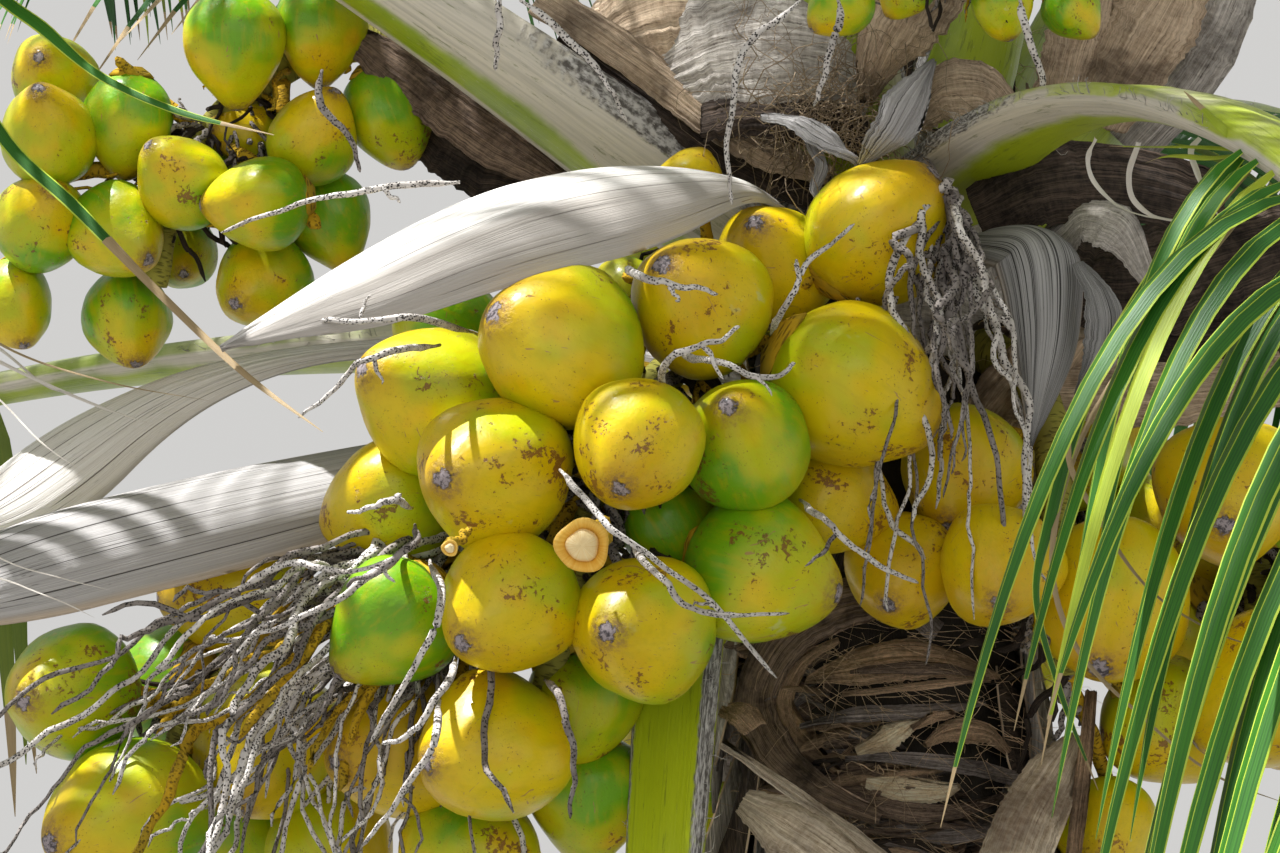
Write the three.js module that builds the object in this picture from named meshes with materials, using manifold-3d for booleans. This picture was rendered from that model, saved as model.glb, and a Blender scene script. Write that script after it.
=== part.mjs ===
// A coconut palm rooted in the ground: leaning trunk, fronds from the oldest hanging one to the
// closed spear, bunches of nuts, dry boat-shaped bracts and old flower stalks.
// Millimetres, +Z up. The origin is the centre of the flat cut under the trunk, at ground level.
import * as THREE from 'three';
import { mergeVertices } from 'three/addons/utils/BufferGeometryUtils.js';
import Module from 'manifold-3d';

const wasm = await Module();
wasm.setup();

// Driving dimensions. Places are measured from the crown's axis, heights from the ground.
const lean = new THREE.Vector3(150, 60, 0);
const straightFrom = 2600;
const clearance = 0.5;
const goldenTurn = 137.5;
const steepest = 86;

const trunk = {
  sides: 14,
  rows: 20,
  rowSpacing: 1.25,
  top: 4150,
  radius: [[0, 235], [120, 200], [400, 165], [1000, 150], [2400, 135], [2800, 140], [3000, 155],
    [3300, 165], [3600, 150], [3900, 110], [4150, 70]],
};

const crown = {
  leaves: 22,
  firstAzimuth: -125,
  baseHeight: 3300,
  rowHeight: 25,
  bareLength: 850,
  bareRings: [0, 0.09, 0.35, 0.7],
  length: [[0, 3000], [1, 3600], [2, 3900], [14, 3900], [16, 3600], [21, 3000]],
  bend: [[0, 50], [3, 80], [5, 75], [8, 70], [11, 60], [14, 50], [18, 38], [21, 28]],
  bendPower: 1.6,
  scale: [[0, 1], [10, 1], [21, 0.55]],
  width: [[0, 165], [300, 130], [850, 100], [1300, 66], [4000, 14]],
  thickness: [[0, 70], [300, 58], [850, 44], [1300, 32], [4000, 9]],
  rise: { oldest: -12, gain: 96, slowing: 6.5 },
  lift: [[0, -30], [4, -20], [9, 5], [21, 12]],
  droop: [[0, 2.4], [4, 2], [9, 1.2], [21, 0.8]],
  sway: 7,
  swayTurn: 2.4,
  splitBend: 65,
  splitLength: 3500,
  splitAt: 0.5,
  grownUntil: 2000,
};
const seatShare = 0.8;
// Corners of a rib's section, as shares of its half width and half thickness.
const ribSection = [[-1, 1], [1, 1], [0.7, -1], [-0.7, -1]];

// Leaves that a plain rule can't give: the one that hangs down the trunk and its neighbours.
const oddLeaves = {
  0: { azimuth: -132, height: 3260, rise: -20, bend: 400, power: 0.96, steepest: 84, sway: 0 },
  1: { height: 3345, rise: 16, sway: 0 },
  2: { height: 3360, rise: 8.5, bareLength: 1300, sway: 0, stout: 1.6 },
  3: { height: 3480, rise: 17, bend: 130, power: 0.75, bareLength: 1000, sway: 0 },
  5: { height: 3440, rise: 31, bareLength: 1100, sway: 0, stout: 2.4, broad: 1.3 },
};

const leaflet = {
  pairs: 10,
  youngPairs: 8,
  youngFrom: 15,
  longest: 900,
  longestAt: 0.35,
  rootShare: 0.65,
  tipShare: 0.32,
  share: 0.65,
  rootAngle: 68,
  tipAngle: 28,
  thinness: 1 / 80,
  spread: [[14, 1], [21, 0.45]],
  middleWidth: 0.45,
  trialSwell: 2,
};

const spear = {
  azimuth: 140,
  rise: 86,
  bend: 6,
  length: 2200,
  sunk: 40,
  width: [[0, 78], [900, 62], [2200, 10]],
  rings: 5,
};

// Bases of leaves that were cut off; the fifth broke off short.
const stubs = {
  count: 6,
  rowHeight: 50,
  rise: 42,
  length: 190,
  growth: 12,
  broken: { 4: 60 },
  width: [160, 118],
  thickness: [62, 40],
};

const nut = { around: 5, along: 3, stretch: 1.06, swell: 1.1, seat: 0.01 };
const twig = { radius: 6, sides: 3, highest: 0.3, steps: 56, rise: 60 };
const stem = { sides: 4, rings: 4 };

// Bunches: the stalk's route out of a leaf's armpit, then each nut's centre and radius.
const bunches = [
  {
    name: 'nut_bunch_front',
    stalk: [[-90, -110, 3350], [-190, -245, 3325], [-310, -370, 3180], [-390, -345, 2960],
      [-430, -290, 2770]],
    nuts: [[-395, -495, 3230, 89], [-240, -450, 3295, 78], [-150, -330, 3375, 72], [-30, -380, 3400, 80],
      [-60, -410, 3205, 92], [-190, -475, 3130, 72], [-310, -555, 3105, 71], [-475, -490, 3090, 84],
      [-550, -370, 3205, 83], [-600, -270, 3095, 75], [-455, -475, 2940, 77], [-305, -470, 2915, 80],
      [-165, -405, 2990, 82], [-80, -305, 3095, 68], [-590, -375, 2935, 71], [-470, -375, 2790, 83],
      [-585, -235, 2815, 86], [-375, -280, 2855, 64], [-270, -355, 3050, 57], [-535, -250, 3310, 65],
      [-505, -215, 2680, 79], [-365, -210, 2755, 70], [-245, -285, 3480, 43]],
  },
  {
    name: 'nut_bunch_left_high',
    stalk: [[-120, 35, 3500], [-420, 20, 3720], [-720, -30, 3720], [-880, -40, 3560], [-910, -30, 3420]],
    nuts: [[-805, -135, 3695, 60], [-705, -100, 3725, 55], [-620, -60, 3630, 55], [-710, -95, 3595, 53],
      [-805, -10, 3620, 50], [-945, -60, 3620, 55], [-1040, -95, 3600, 58], [-1050, 0, 3700, 54],
      [-870, -100, 3535, 54], [-775, -130, 3500, 55], [-695, 5, 3510, 53], [-1050, -55, 3495, 57],
      [-950, -70, 3475, 57], [-890, 75, 3485, 45], [-780, -15, 3425, 58], [-950, 30, 3390, 54],
      [-1090, 10, 3405, 50]],
  },
  {
    name: 'nut_bunch_right_low',
    stalk: [[95, -100, 3330], [170, -180, 3260], [190, -230, 3080], [200, -220, 2900]],
    nuts: [[0, -270, 3015, 65], [110, -340, 3005, 69], [245, -250, 2980, 93], [75, -250, 3135, 73],
      [250, -130, 2725, 60], [330, -120, 2860, 74]],
  },
  {
    name: 'nut_bunch_right',
    stalk: [[120, 20, 3450], [300, 30, 3420], [430, 0, 3240], [460, 0, 3000], [450, 10, 2860]],
    nuts: [[390, -235, 3115, 85], [435, -205, 2880, 90], [560, -80, 3030, 84], [350, 95, 2990, 80],
      [500, 130, 2920, 82], [440, 150, 3110, 80], [560, -40, 2830, 80], [590, 90, 3190, 78]],
  },
  {
    name: 'nut_bunch_left_low',
    stalk: [[-130, 0, 3130], [-480, -60, 3090], [-740, -60, 2990], [-860, -50, 2850], [-850, -20, 2740]],
    nuts: [[-990, -120, 2895, 79], [-803, -30, 3034, 81], [-915, -150, 2735, 96], [-755, -85, 2835, 89],
      [-675, -20, 2715, 75], [-880, 60, 2920, 80], [-810, 90, 2760, 80]],
  },
  {
    name: 'young_nut_bunch_front',
    stalk: [[-35, -125, 3640], [-20, -330, 3860], [40, -480, 3830], [60, -540, 3700]],
    nuts: [[-80, -550, 3615, 36], [105, -530, 3620, 34], [190, -500, 3625, 33], [0, -500, 3650, 32],
      [60, -590, 3650, 34], [130, -600, 3690, 30]],
  },
  {
    name: 'nut_bunch_back_right',
    stalk: [[60, 110, 3400], [180, 300, 3480], [250, 420, 3360], [260, 430, 3150]],
    heap: { centre: [255, 440, 3190], count: 10, across: 140, tall: 175, radius: 78 },
  },
  {
    name: 'nut_bunch_back',
    stalk: [[-30, 125, 3230], [-90, 300, 3180], [-135, 400, 3020], [-140, 400, 2850]],
    heap: { centre: [-140, 410, 2870], count: 9, across: 135, tall: 165, radius: 80 },
  },
  {
    name: 'nut_bunch_back_left',
    stalk: [[-60, 105, 3520], [-160, 280, 3680], [-220, 400, 3620], [-225, 420, 3480]],
    heap: { centre: [-225, 430, 3500], count: 9, across: 105, tall: 125, radius: 60 },
  },
];
const stalkRadius = [[0, 28], [0.5, 22], [1, 16]];

// Dry bracts: route of the crest, width across the open side, the way the crest faces, and the
// outline as shares of that width along the route.
const bracts = [
  { name: 'dry_bract_front', width: 172, out: [0.1, -0.74, 0.66],
    route: [[-75, -95, 3425], [-190, -390, 3455], [-420, -520, 3400], [-620, -560, 3300],
      [-770, -566, 3215]],
    outline: [[0, 0.3], [0.2, 0.15], [0.26, 0.3], [0.38, 0.95], [0.52, 1], [0.78, 0.66], [1, 0.1]] },
  { name: 'dry_bract_left', width: 160, out: [0, -0.9, 0.45],
    route: [[-120, -10, 3250], [-400, -90, 3215], [-640, -125, 3165], [-1000, -190, 3065],
      [-1280, -225, 2950]],
    outline: [[0, 0.35], [0.2, 0.5], [0.45, 0.75], [0.65, 1], [0.8, 0.95], [1, 0.1]] },
  { name: 'dry_bract_left_high', width: 150, out: [0.1, -0.8, 0.6],
    route: [[-115, 30, 3310], [-480, 40, 3365], [-860, 25, 3315], [-1170, -30, 3100]],
    outline: [[0, 0.2], [0.55, 0.2], [0.7, 0.55], [0.86, 1], [0.95, 0.8], [1, 0.12]] },
  { name: 'broken_bract_right', width: 118, out: [0.35, -0.85, 0.35],
    route: [[45, -120, 3400], [100, -300, 3418], [165, -385, 3385], [174, -380, 3290], [148, -350, 3148]] },
  { name: 'dry_bract_back_right', width: 140, out: [0.3, 0.5, 0.8],
    route: [[80, 80, 3400], [330, 240, 3520], [560, 360, 3470], [720, 440, 3300]] },
  { name: 'dry_bract_back', width: 140, out: [-0.1, 0.6, 0.8],
    route: [[-20, 130, 3300], [-10, 400, 3400], [30, 640, 3330], [60, 800, 3150]] },
];
const bract = {
  rings: 6,
  thickness: 10,
  depth: 0.55,
  rim: 4,
  outline: [[0, 0.4], [0.2, 0.7], [0.4, 0.98], [0.6, 1], [0.8, 0.75], [1, 0.1]],
};

// Old flower stalks: the main stem's route, and how its strands spread and fall from its far half.
const flowerStalks = [
  { name: 'old_flower_stalk_right', stalk: [[0, -125, 3440], [25, -300, 3500], [50, -400, 3430]],
    strands: 7, reach: 42, fall: 400, push: [0.02, -0.1, 0] },
  { name: 'old_flower_stalk_left', stalk: [[-125, -45, 3180], [-420, -190, 3090], [-560, -265, 3030]],
    strands: 11, reach: 330, fall: 300, push: [-0.45, -0.25, 0] },
];
const strand = {
  radius: 7,
  taper: 0.4,
  sides: 3,
  rings: 2,
  from: 0.55,
  to: 0.98,
  shortest: 0.75,
  longest: 1.05,
  unevenness: 3.1,
  elbow: { out: 0.7, drift: 0.5, fall: 0.25 },
};

function linear(table, x) {
  const last = table[table.length - 1];
  const high = table.findIndex(([at]) => at >= x);
  if (high < 0) return last[1];
  if (high === 0) return table[0][1];
  const [x0, y0] = table[high - 1];
  const [x1, y1] = table[high];
  return y0 + (y1 - y0) * (x - x0) / (x1 - x0);
}

const radians = THREE.MathUtils.degToRad;
const vector = (point) => new THREE.Vector3(...point);

// A closed body built face by face; every face is a loop of corner numbers.
class Body {
  constructor() {
    this.corners = [];
    this.faces = [];
  }

  ring(points) {
    return points.map((point) => this.corners.push(point.clone()) - 1);
  }

  band(near, far) {
    return near.map((corner, i) => {
      const next = (i + 1) % near.length;
      return this.faces.push([corner, near[next], far[next], far[i]]) - 1;
    });
  }

  // Pulls a four-sided face out into a blade: a first stretch to the middle corners, then a point.
  pullOut(face, middle, tip) {
    const root = this.faces[face];
    const ring = this.ring(middle);
    const [end] = this.ring([tip]);
    const sides = root.map((corner, i) => [corner, root[(i + 1) % 4], ring[(i + 1) % 4], ring[i]]);
    const point = ring.map((corner, i) => [corner, ring[(i + 1) % 4], end]);
    this.faces.splice(face, 1, sides[0]);
    this.faces.push(...sides.slice(1), ...point);
  }

  geometry() {
    const fan = (face) => face.slice(2).map((corner, i) => [face[0], face[i + 1], corner]);
    const triangles = this.faces.flatMap(fan);
    const product = new THREE.Vector3();
    let volume = 0;
    for (const [a, b, c] of triangles) {
      volume += product.crossVectors(this.corners[a], this.corners[b]).dot(this.corners[c]);
    }
    const outward = volume > 0 ? triangles : triangles.map(([a, b, c]) => [a, c, b]);
    const shape = new THREE.BufferGeometry().setFromPoints(this.corners);
    shape.setIndex(outward.flat());
    return shape;
  }
}

function skin(rings) {
  const body = new Body();
  const numbered = rings.map((ring) => body.ring(ring));
  for (let i = 1; i < numbered.length; i += 1) body.band(numbered[i - 1], numbered[i]);
  body.faces.push([...numbered[0]].reverse(), numbered[numbered.length - 1]);
  return body;
}

function solidOf(geometry) {
  const bare = geometry.clone();
  bare.deleteAttribute('normal');
  bare.deleteAttribute('uv');
  const merged = mergeVertices(bare, 0.001);
  return new wasm.Manifold(new wasm.Mesh({
    numProp: 3,
    vertProperties: new Float32Array(merged.attributes.position.array),
    triVerts: new Uint32Array(merged.index.array),
  }));
}

function geometryOf(solid) {
  const cut = solid.getMesh();
  const geometry = new THREE.BufferGeometry();
  geometry.setAttribute('position', new THREE.BufferAttribute(new Float32Array(cut.vertProperties), 3));
  geometry.setIndex(new THREE.BufferAttribute(new Uint32Array(cut.triVerts), 1));
  geometry.computeVertexNormals();
  return geometry;
}

// What already stands, each body grown by the clearance, for later pieces to keep clear of.
const standing = [];

function boxOf(solid) {
  const { min, max } = solid.boundingBox();
  return new THREE.Box3(vector(min), vector(max));
}

function stand(solid, owner = null) {
  standing.push({ solid, owner, box: boxOf(solid) });
}

function neighbours(solid, owner) {
  const box = boxOf(solid);
  const others = standing.filter((other) => owner === null || other.owner !== owner);
  return others.filter((other) => other.box.intersectsBox(box));
}

function isFree(solid, owner = null) {
  return neighbours(solid, owner).every((other) => solid.intersect(other.solid).isEmpty());
}

function largestPiece(solid) {
  return solid.decompose().reduce((best, piece) => (piece.volume() > best.volume() ? piece : best));
}

function cutClear(solid, owner = null) {
  const rest = neighbours(solid, owner).reduce((body, other) => body.subtract(other.solid), solid);
  return largestPiece(rest);
}

const palm = new THREE.Group();
palm.position.copy(lean);

function addPiece(name, solid, material) {
  const mesh = new THREE.Mesh(geometryOf(solid), new THREE.MeshStandardMaterial(material));
  mesh.name = name;
  palm.add(mesh);
}

const looks = {
  bark: { color: 0x7c6751, roughness: 0.95, metalness: 0 },
  frond: { color: 0x5d8a26, roughness: 0.5, metalness: 0 },
  spear: { color: 0xa9bf5c, roughness: 0.5, metalness: 0 },
  stub: { color: 0x8a6a48, roughness: 0.95, metalness: 0 },
  nut: { color: 0xc99a12, roughness: 0.4, metalness: 0 },
  bract: { color: 0xb5aea2, roughness: 0.85, metalness: 0 },
  stalk: { color: 0x8d857a, roughness: 0.9, metalness: 0 },
};

// How far an end ring moves out when its body is grown; the rings between stay in place.
function endShift(i, last, grow) {
  if (i === 0) return -grow;
  return i === last ? grow : 0;
}

function trunkAxis(z) {
  const below = Math.max(0, 1 - z / straightFrom) ** 2;
  return lean.clone().multiplyScalar(-below).setZ(z);
}

function makeTrunk(grow = 0) {
  const rings = [];
  for (let row = 0; row <= trunk.rows; row += 1) {
    const z = trunk.top * (row / trunk.rows) ** trunk.rowSpacing + endShift(row, trunk.rows, grow);
    const radius = linear(trunk.radius, z) + grow;
    const centre = trunkAxis(z);
    rings.push(Array.from({ length: trunk.sides }, (_, i) => {
      const turn = 2 * Math.PI * i / trunk.sides;
      return centre.clone().add(new THREE.Vector3(radius * Math.cos(turn), radius * Math.sin(turn), 0));
    }));
  }
  return solidOf(skin(rings).geometry());
}

// One leaf's rib: heading, rise and the frame at any distance along it.
class LeafPath {
  constructor(spec) {
    this.spec = spec;
    this.step = 20;
    this.places = [this.start()];
    for (let s = this.step; s <= spec.length + this.step; s += this.step) {
      const { along } = this.frame(s - this.step / 2);
      this.places.push(this.places[this.places.length - 1].clone().addScaledVector(along, this.step));
    }
  }

  start() {
    const { azimuth, height, seat } = this.spec;
    const turn = radians(azimuth);
    return new THREE.Vector3(seat * Math.cos(turn), seat * Math.sin(turn), height);
  }

  frame(s) {
    const { azimuth, sway, rise, bend, power, length, limit } = this.spec;
    const share = Math.max(0, s) / length;
    const turn = radians(azimuth + sway * share ** 2);
    const slope = radians(Math.max(rise - bend * share ** power, -limit));
    const out = new THREE.Vector3(Math.cos(turn), Math.sin(turn), 0);
    const along = out.clone().multiplyScalar(Math.cos(slope)).setZ(Math.sin(slope));
    const up = out.clone().multiplyScalar(-Math.sin(slope)).setZ(Math.cos(slope));
    return { along, up, side: new THREE.Vector3(Math.sin(turn), -Math.cos(turn), 0) };
  }

  point(s) {
    const at = s / this.step;
    const before = THREE.MathUtils.clamp(Math.floor(at), 0, this.places.length - 2);
    return this.places[before].clone().lerp(this.places[before + 1], at - before);
  }

  // Some feet are broader and stouter than the rule has it, less and less towards the tip.
  grown(factor, s) {
    return 1 + ((factor ?? 1) - 1) * THREE.MathUtils.clamp(1 - s / crown.grownUntil, 0, 1);
  }

  ring(s, grow = 0) {
    const { scale, widths, thicknesses, broad, stout } = this.spec;
    const { up, side } = this.frame(s);
    const wide = linear(widths, s) * scale / 2 * this.grown(broad, s) + grow;
    const thick = linear(thicknesses, s) * scale / 2 * this.grown(stout, s) + grow;
    const centre = this.point(s);
    return ribSection.map(([across, high]) => (
      centre.clone().addScaledVector(side, across * wide).addScaledVector(up, high * thick)));
  }
}

function leafPath(k) {
  const odd = oddLeaves[k] ?? {};
  const { oldest, gain, slowing } = crown.rise;
  const height = odd.height ?? crown.baseHeight + crown.rowHeight * k;
  return new LeafPath({
    azimuth: odd.azimuth ?? crown.firstAzimuth + goldenTurn * k,
    height,
    seat: seatShare * linear(trunk.radius, height),
    rise: odd.rise ?? oldest + gain * (1 - Math.exp(-k / slowing)),
    bend: odd.bend ?? linear(crown.bend, k),
    power: odd.power ?? crown.bendPower,
    limit: odd.steepest ?? steepest,
    sway: odd.sway ?? crown.sway * Math.sin(crown.swayTurn * k + 1),
    length: linear(crown.length, k),
    bareLength: (odd.bareLength ?? crown.bareLength) * linear(crown.scale, k),
    scale: linear(crown.scale, k),
    broad: odd.broad,
    stout: odd.stout,
    widths: crown.width,
    thicknesses: crown.thickness,
    pairs: k < leaflet.youngFrom ? leaflet.pairs : leaflet.youngPairs,
    spread: linear(leaflet.spread, k),
    lift: linear(crown.lift, k),
    droop: linear(crown.droop, k),
  });
}

function leafletLength(t) {
  const { longest, longestAt, rootShare, tipShare } = leaflet;
  if (t < longestAt) return longest * (1 - (1 - rootShare) * (1 - t / longestAt) ** 2);
  return longest * (1 - (1 - tipShare) * ((t - longestAt) / (1 - longestAt)) ** 1.8);
}

// Stations along a rib: the bare stalk, then a leaflet's root and a gap by turns.
function ribStations({ bareLength, length, pairs }) {
  const stations = crown.bareRings.map((share) => ({ s: share * bareLength, pair: null }));
  const pitch = (length - bareLength) / pairs;
  for (let pair = 0; pair < pairs; pair += 1) {
    stations.push({ s: bareLength + pair * pitch, pair });
    stations.push({ s: bareLength + (pair + leaflet.share) * pitch, pair: null });
  }
  stations.push({ s: length, pair: null });
  return stations;
}

// Where a leaflet's middle corners and tip lie, from the four corners of its root.
function leafletShape(path, root, s, pair, hand) {
  const { pairs, spread, droop } = path.spec;
  const t = (pair + leaflet.share / 2) / pairs;
  const { along, up, side } = path.frame(s);
  const angle = radians(THREE.MathUtils.lerp(leaflet.rootAngle, leaflet.tipAngle, t) * spread);
  const lift = radians(path.spec.lift);
  const first = along.clone().multiplyScalar(Math.cos(angle))
    .addScaledVector(side, hand * Math.cos(lift) * Math.sin(angle))
    .addScaledVector(up, Math.sin(lift) * Math.sin(angle));
  const heading = (share) => first.clone().setZ(first.z - droop * share).normalize();
  const length = leafletLength(t);
  const centre = root.reduce((sum, corner) => sum.add(corner), new THREE.Vector3()).multiplyScalar(0.25);
  const near = heading(0.25);
  const middle = centre.clone().addScaledVector(near, length / 2);
  const tip = middle.clone().addScaledVector(heading(0.75), length / 2);
  const across = along.clone().addScaledVector(near, -along.dot(near)).normalize();
  const thick = new THREE.Vector3().crossVectors(near, across);
  if (thick.dot(up) < 0) thick.negate();
  const rootWidth = Math.max(root[0].distanceTo(root[1]), root[1].distanceTo(root[2]));
  const halfWidth = leaflet.middleWidth * rootWidth * Math.sin(angle);
  const halfThick = length * leaflet.thinness / 2;
  const corners = root.map((corner) => {
    const offset = corner.clone().sub(centre);
    return middle.clone().addScaledVector(across, Math.sign(offset.dot(along)) * halfWidth)
      .addScaledVector(thick, Math.sign(offset.dot(up)) * halfThick);
  });
  return { corners, tip };
}

function swollen(points, centre, by) {
  return points.map((point) => point.clone().add(point.clone().sub(centre).setLength(by)));
}

// The leaflet alone as a closed body, a little fat, to try it against what stands.
function trialLeaflet(root, { corners, tip }) {
  const centre = root[0].clone().lerp(root[2], 0.5);
  const middle = corners[0].clone().lerp(corners[2], 0.5);
  const body = new Body();
  const near = body.ring(swollen(root, centre, leaflet.trialSwell));
  body.faces.push([...near].reverse(), near);
  body.pullOut(1, swollen(corners, middle, leaflet.trialSwell), tip);
  return solidOf(body.geometry());
}

// Which leaflets of a leaf have room, by pair and hand.
function roomyLeaflets(path, owner) {
  const chosen = new Map();
  const stations = ribStations(path.spec);
  stations.forEach(({ s, pair }, i) => {
    if (pair === null) return;
    const near = path.ring(s);
    const far = path.ring(stations[i + 1].s);
    const roots = { 1: [near[1], far[1], far[2], near[2]], '-1': [near[3], far[3], far[0], near[0]] };
    for (const hand of [1, -1]) {
      const shape = leafletShape(path, roots[hand], s, pair, hand);
      const trial = trialLeaflet(roots[hand], shape);
      if (isFree(trial, owner)) {
        chosen.set(`${pair} ${hand}`, { shape, trial });
        stand(trial, owner);
      }
    }
  });
  return chosen;
}

function ribSolid(path, stations, chosen = new Map(), grow = 0) {
  const body = new Body();
  const last = stations.length - 1;
  const rings = stations.map(({ s }, i) => body.ring(path.ring(s + endShift(i, last, grow), grow)));
  const bands = rings.slice(1).map((ring, i) => body.band(rings[i], ring));
  body.faces.push([...rings[0]].reverse(), rings[rings.length - 1]);
  stations.forEach(({ pair }, i) => {
    if (pair === null) return;
    for (const [hand, side] of [[1, 1], [-1, 3]]) {
      const found = chosen.get(`${pair} ${hand}`);
      if (!found) continue;
      const root = body.faces[bands[i][side]];
      const corners = root.map((corner) => body.corners[corner]);
      const reach = leafletShape(path, corners, stations[i].s, pair, hand);
      body.pullOut(bands[i][side], reach.corners, reach.tip);
    }
  });
  return solidOf(body.geometry());
}

function splitStations(stations, length) {
  const cut = stations.findIndex(({ s, pair }) => pair !== null && s > length * crown.splitAt);
  const { s, pair } = stations[cut];
  const inner = [...stations.slice(0, cut), { s: s - clearance, pair: null }];
  const outer = [{ s, pair }, ...stations.slice(cut + 1)];
  return [inner, outer];
}

function evenStations(length, steps) {
  return Array.from({ length: steps + 1 }, (_, i) => ({ s: length * i / steps, pair: null }));
}

function makeStub(i, grow = 0) {
  const height = crown.baseHeight - stubs.rowHeight * (i + 1);
  const length = stubs.broken[i] ?? stubs.length + stubs.growth * (i % 3);
  const path = new LeafPath({
    azimuth: crown.firstAzimuth - goldenTurn * (i + 1),
    height,
    seat: seatShare * linear(trunk.radius, height),
    rise: stubs.rise,
    bend: 0,
    power: 1,
    limit: steepest,
    sway: 0,
    length,
    scale: 1,
    widths: stubs.width.map((width, end) => [end * length, width]),
    thicknesses: stubs.thickness.map((thickness, end) => [end * length, thickness]),
  });
  return ribSolid(path, evenStations(length, 2), new Map(), grow);
}

function makeSpear(grow = 0) {
  const path = new LeafPath({
    azimuth: spear.azimuth,
    height: trunk.top - spear.sunk,
    seat: 0,
    rise: spear.rise,
    bend: spear.bend,
    power: 2,
    limit: steepest,
    sway: 0,
    length: spear.length,
    scale: 1,
    widths: spear.width,
    thicknesses: spear.width,
  });
  return ribSolid(path, evenStations(spear.length, spear.rings), new Map(), grow);
}

// A round tube through the points of a smooth route, its radius given along its share of the way.
function tube(route, radiusAt, { sides, rings }, grow) {
  const curve = new THREE.CatmullRomCurve3(route.map((point) => point.clone()));
  let side = null;
  const loops = [];
  for (let i = 0; i <= rings; i += 1) {
    const share = i / rings;
    const along = curve.getTangent(share);
    const hint = side ?? new THREE.Vector3(0.31, 0.22, 0.92);
    side = hint.clone().addScaledVector(along, -hint.dot(along)).normalize();
    const other = new THREE.Vector3().crossVectors(along, side);
    const centre = curve.getPoint(share).addScaledVector(along, endShift(i, rings, grow));
    const radius = radiusAt(share) + grow;
    loops.push(Array.from({ length: sides }, (_, corner) => {
      const turn = 2 * Math.PI * corner / sides;
      return centre.clone().addScaledVector(side, radius * Math.cos(turn))
        .addScaledVector(other, radius * Math.sin(turn));
    }));
  }
  return { solid: solidOf(skin(loops).geometry()), curve };
}

function makeNut(centre, radius, from, grow) {
  const size = (radius + grow) * nut.swell;
  const egg = new THREE.SphereGeometry(size, nut.around, nut.along);
  egg.scale(1, nut.stretch, 1);
  const outward = centre.clone().sub(from).normalize();
  egg.applyQuaternion(new THREE.Quaternion().setFromUnitVectors(new THREE.Vector3(0, 1, 0), outward));
  egg.translate(centre.x, centre.y, centre.z);
  return solidOf(egg);
}

// Nuts of a bunch that has no hand-set places: spread evenly over an egg by the golden turn.
function heapedNuts({ centre, count, across, tall, radius }) {
  return Array.from({ length: count }, (_, i) => {
    const height = 1 - 2 * (i + 0.5) / count;
    const ring = across * Math.sqrt(1 - height ** 2);
    const turn = radians(goldenTurn * i);
    const [x, y, z] = centre;
    return [x + ring * Math.cos(turn), y + ring * Math.sin(turn), z + tall * height, radius];
  });
}

function nearestOn(curve, point) {
  const shares = Array.from({ length: twig.steps + 1 }, (_, i) => (
    THREE.MathUtils.lerp(twig.highest, 1, i / twig.steps)));
  const above = point.clone().setZ(point.z + twig.rise);
  return shares.map((share) => curve.getPoint(share))
    .reduce((best, place) => (place.distanceTo(above) < best.distanceTo(above) ? place : best));
}

// A nut that sits well into the ones before it hides its own twig, so it gets none.
function makeBunch({ stalk, nuts, heap }, grow = 0) {
  const { solid, curve } = tube(stalk.map(vector), (share) => linear(stalkRadius, share), stem, grow);
  let bunch = solid;
  for (const [x, y, z, radius] of nuts ?? heapedNuts(heap)) {
    const centre = new THREE.Vector3(x, y, z);
    const from = nearestOn(curve, centre);
    const whole = makeNut(centre, radius, from, grow);
    const seated = bunch.intersect(whole).volume() > nut.seat * whole.volume();
    if (!seated) {
      const route = [from, from.clone().lerp(centre, 0.5), centre];
      bunch = bunch.add(tube(route, () => twig.radius, { sides: twig.sides, rings: 1 }, grow).solid);
    }
    bunch = bunch.add(whole);
  }
  return bunch;
}

function makeBract({ route, width, out, outline }, grow = 0) {
  const curve = new THREE.CatmullRomCurve3(route.map(vector));
  const rings = [];
  for (let i = 0; i <= bract.rings; i += 1) {
    const share = i / bract.rings;
    const along = curve.getTangent(share);
    const crest = vector(out).addScaledVector(along, -vector(out).dot(along)).normalize();
    const across = new THREE.Vector3().crossVectors(along, crest);
    const half = width / 2 * linear(outline ?? bract.outline, share) + grow;
    const centre = curve.getPoint(share).addScaledVector(along, endShift(i, bract.rings, grow));
    const corner = (wide, high) => centre.clone().addScaledVector(across, wide)
      .addScaledVector(crest, high);
    const rim = grow - bract.depth * half;
    const inside = bract.thickness + 2 * grow;
    rings.push([corner(-half, rim), corner(0, grow), corner(half, rim),
      corner(half - bract.rim, rim - inside), corner(0, grow - inside),
      corner(bract.rim - half, rim - inside)]);
  }
  return solidOf(skin(rings).geometry());
}

function makeFlowerStalk({ stalk, strands, reach, fall, push }, grow = 0) {
  const { solid, curve } = tube(stalk.map(vector), (share) => linear(stalkRadius, share), stem, grow);
  const radiusAt = (share) => strand.radius * (1 - strand.taper * share);
  let whole = solid;
  for (let i = 0; i < strands; i += 1) {
    const from = curve.getPoint(THREE.MathUtils.lerp(strand.from, strand.to, i / (strands - 1)));
    const turn = radians(goldenTurn * i);
    const share = Math.sin(strand.unevenness * i) ** 2;
    const length = fall * THREE.MathUtils.lerp(strand.shortest, strand.longest, share);
    const drift = vector(push).multiplyScalar(length);
    const aside = new THREE.Vector3(Math.cos(turn), Math.sin(turn), 0).multiplyScalar(reach);
    const elbow = from.clone().addScaledVector(aside, strand.elbow.out)
      .addScaledVector(drift, strand.elbow.drift);
    elbow.z -= strand.elbow.fall * length;
    const end = from.clone().add(aside).add(drift);
    end.z -= length;
    whole = whole.add(tube([from, elbow, end], radiusAt, strand, grow).solid);
  }
  return whole;
}

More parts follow.
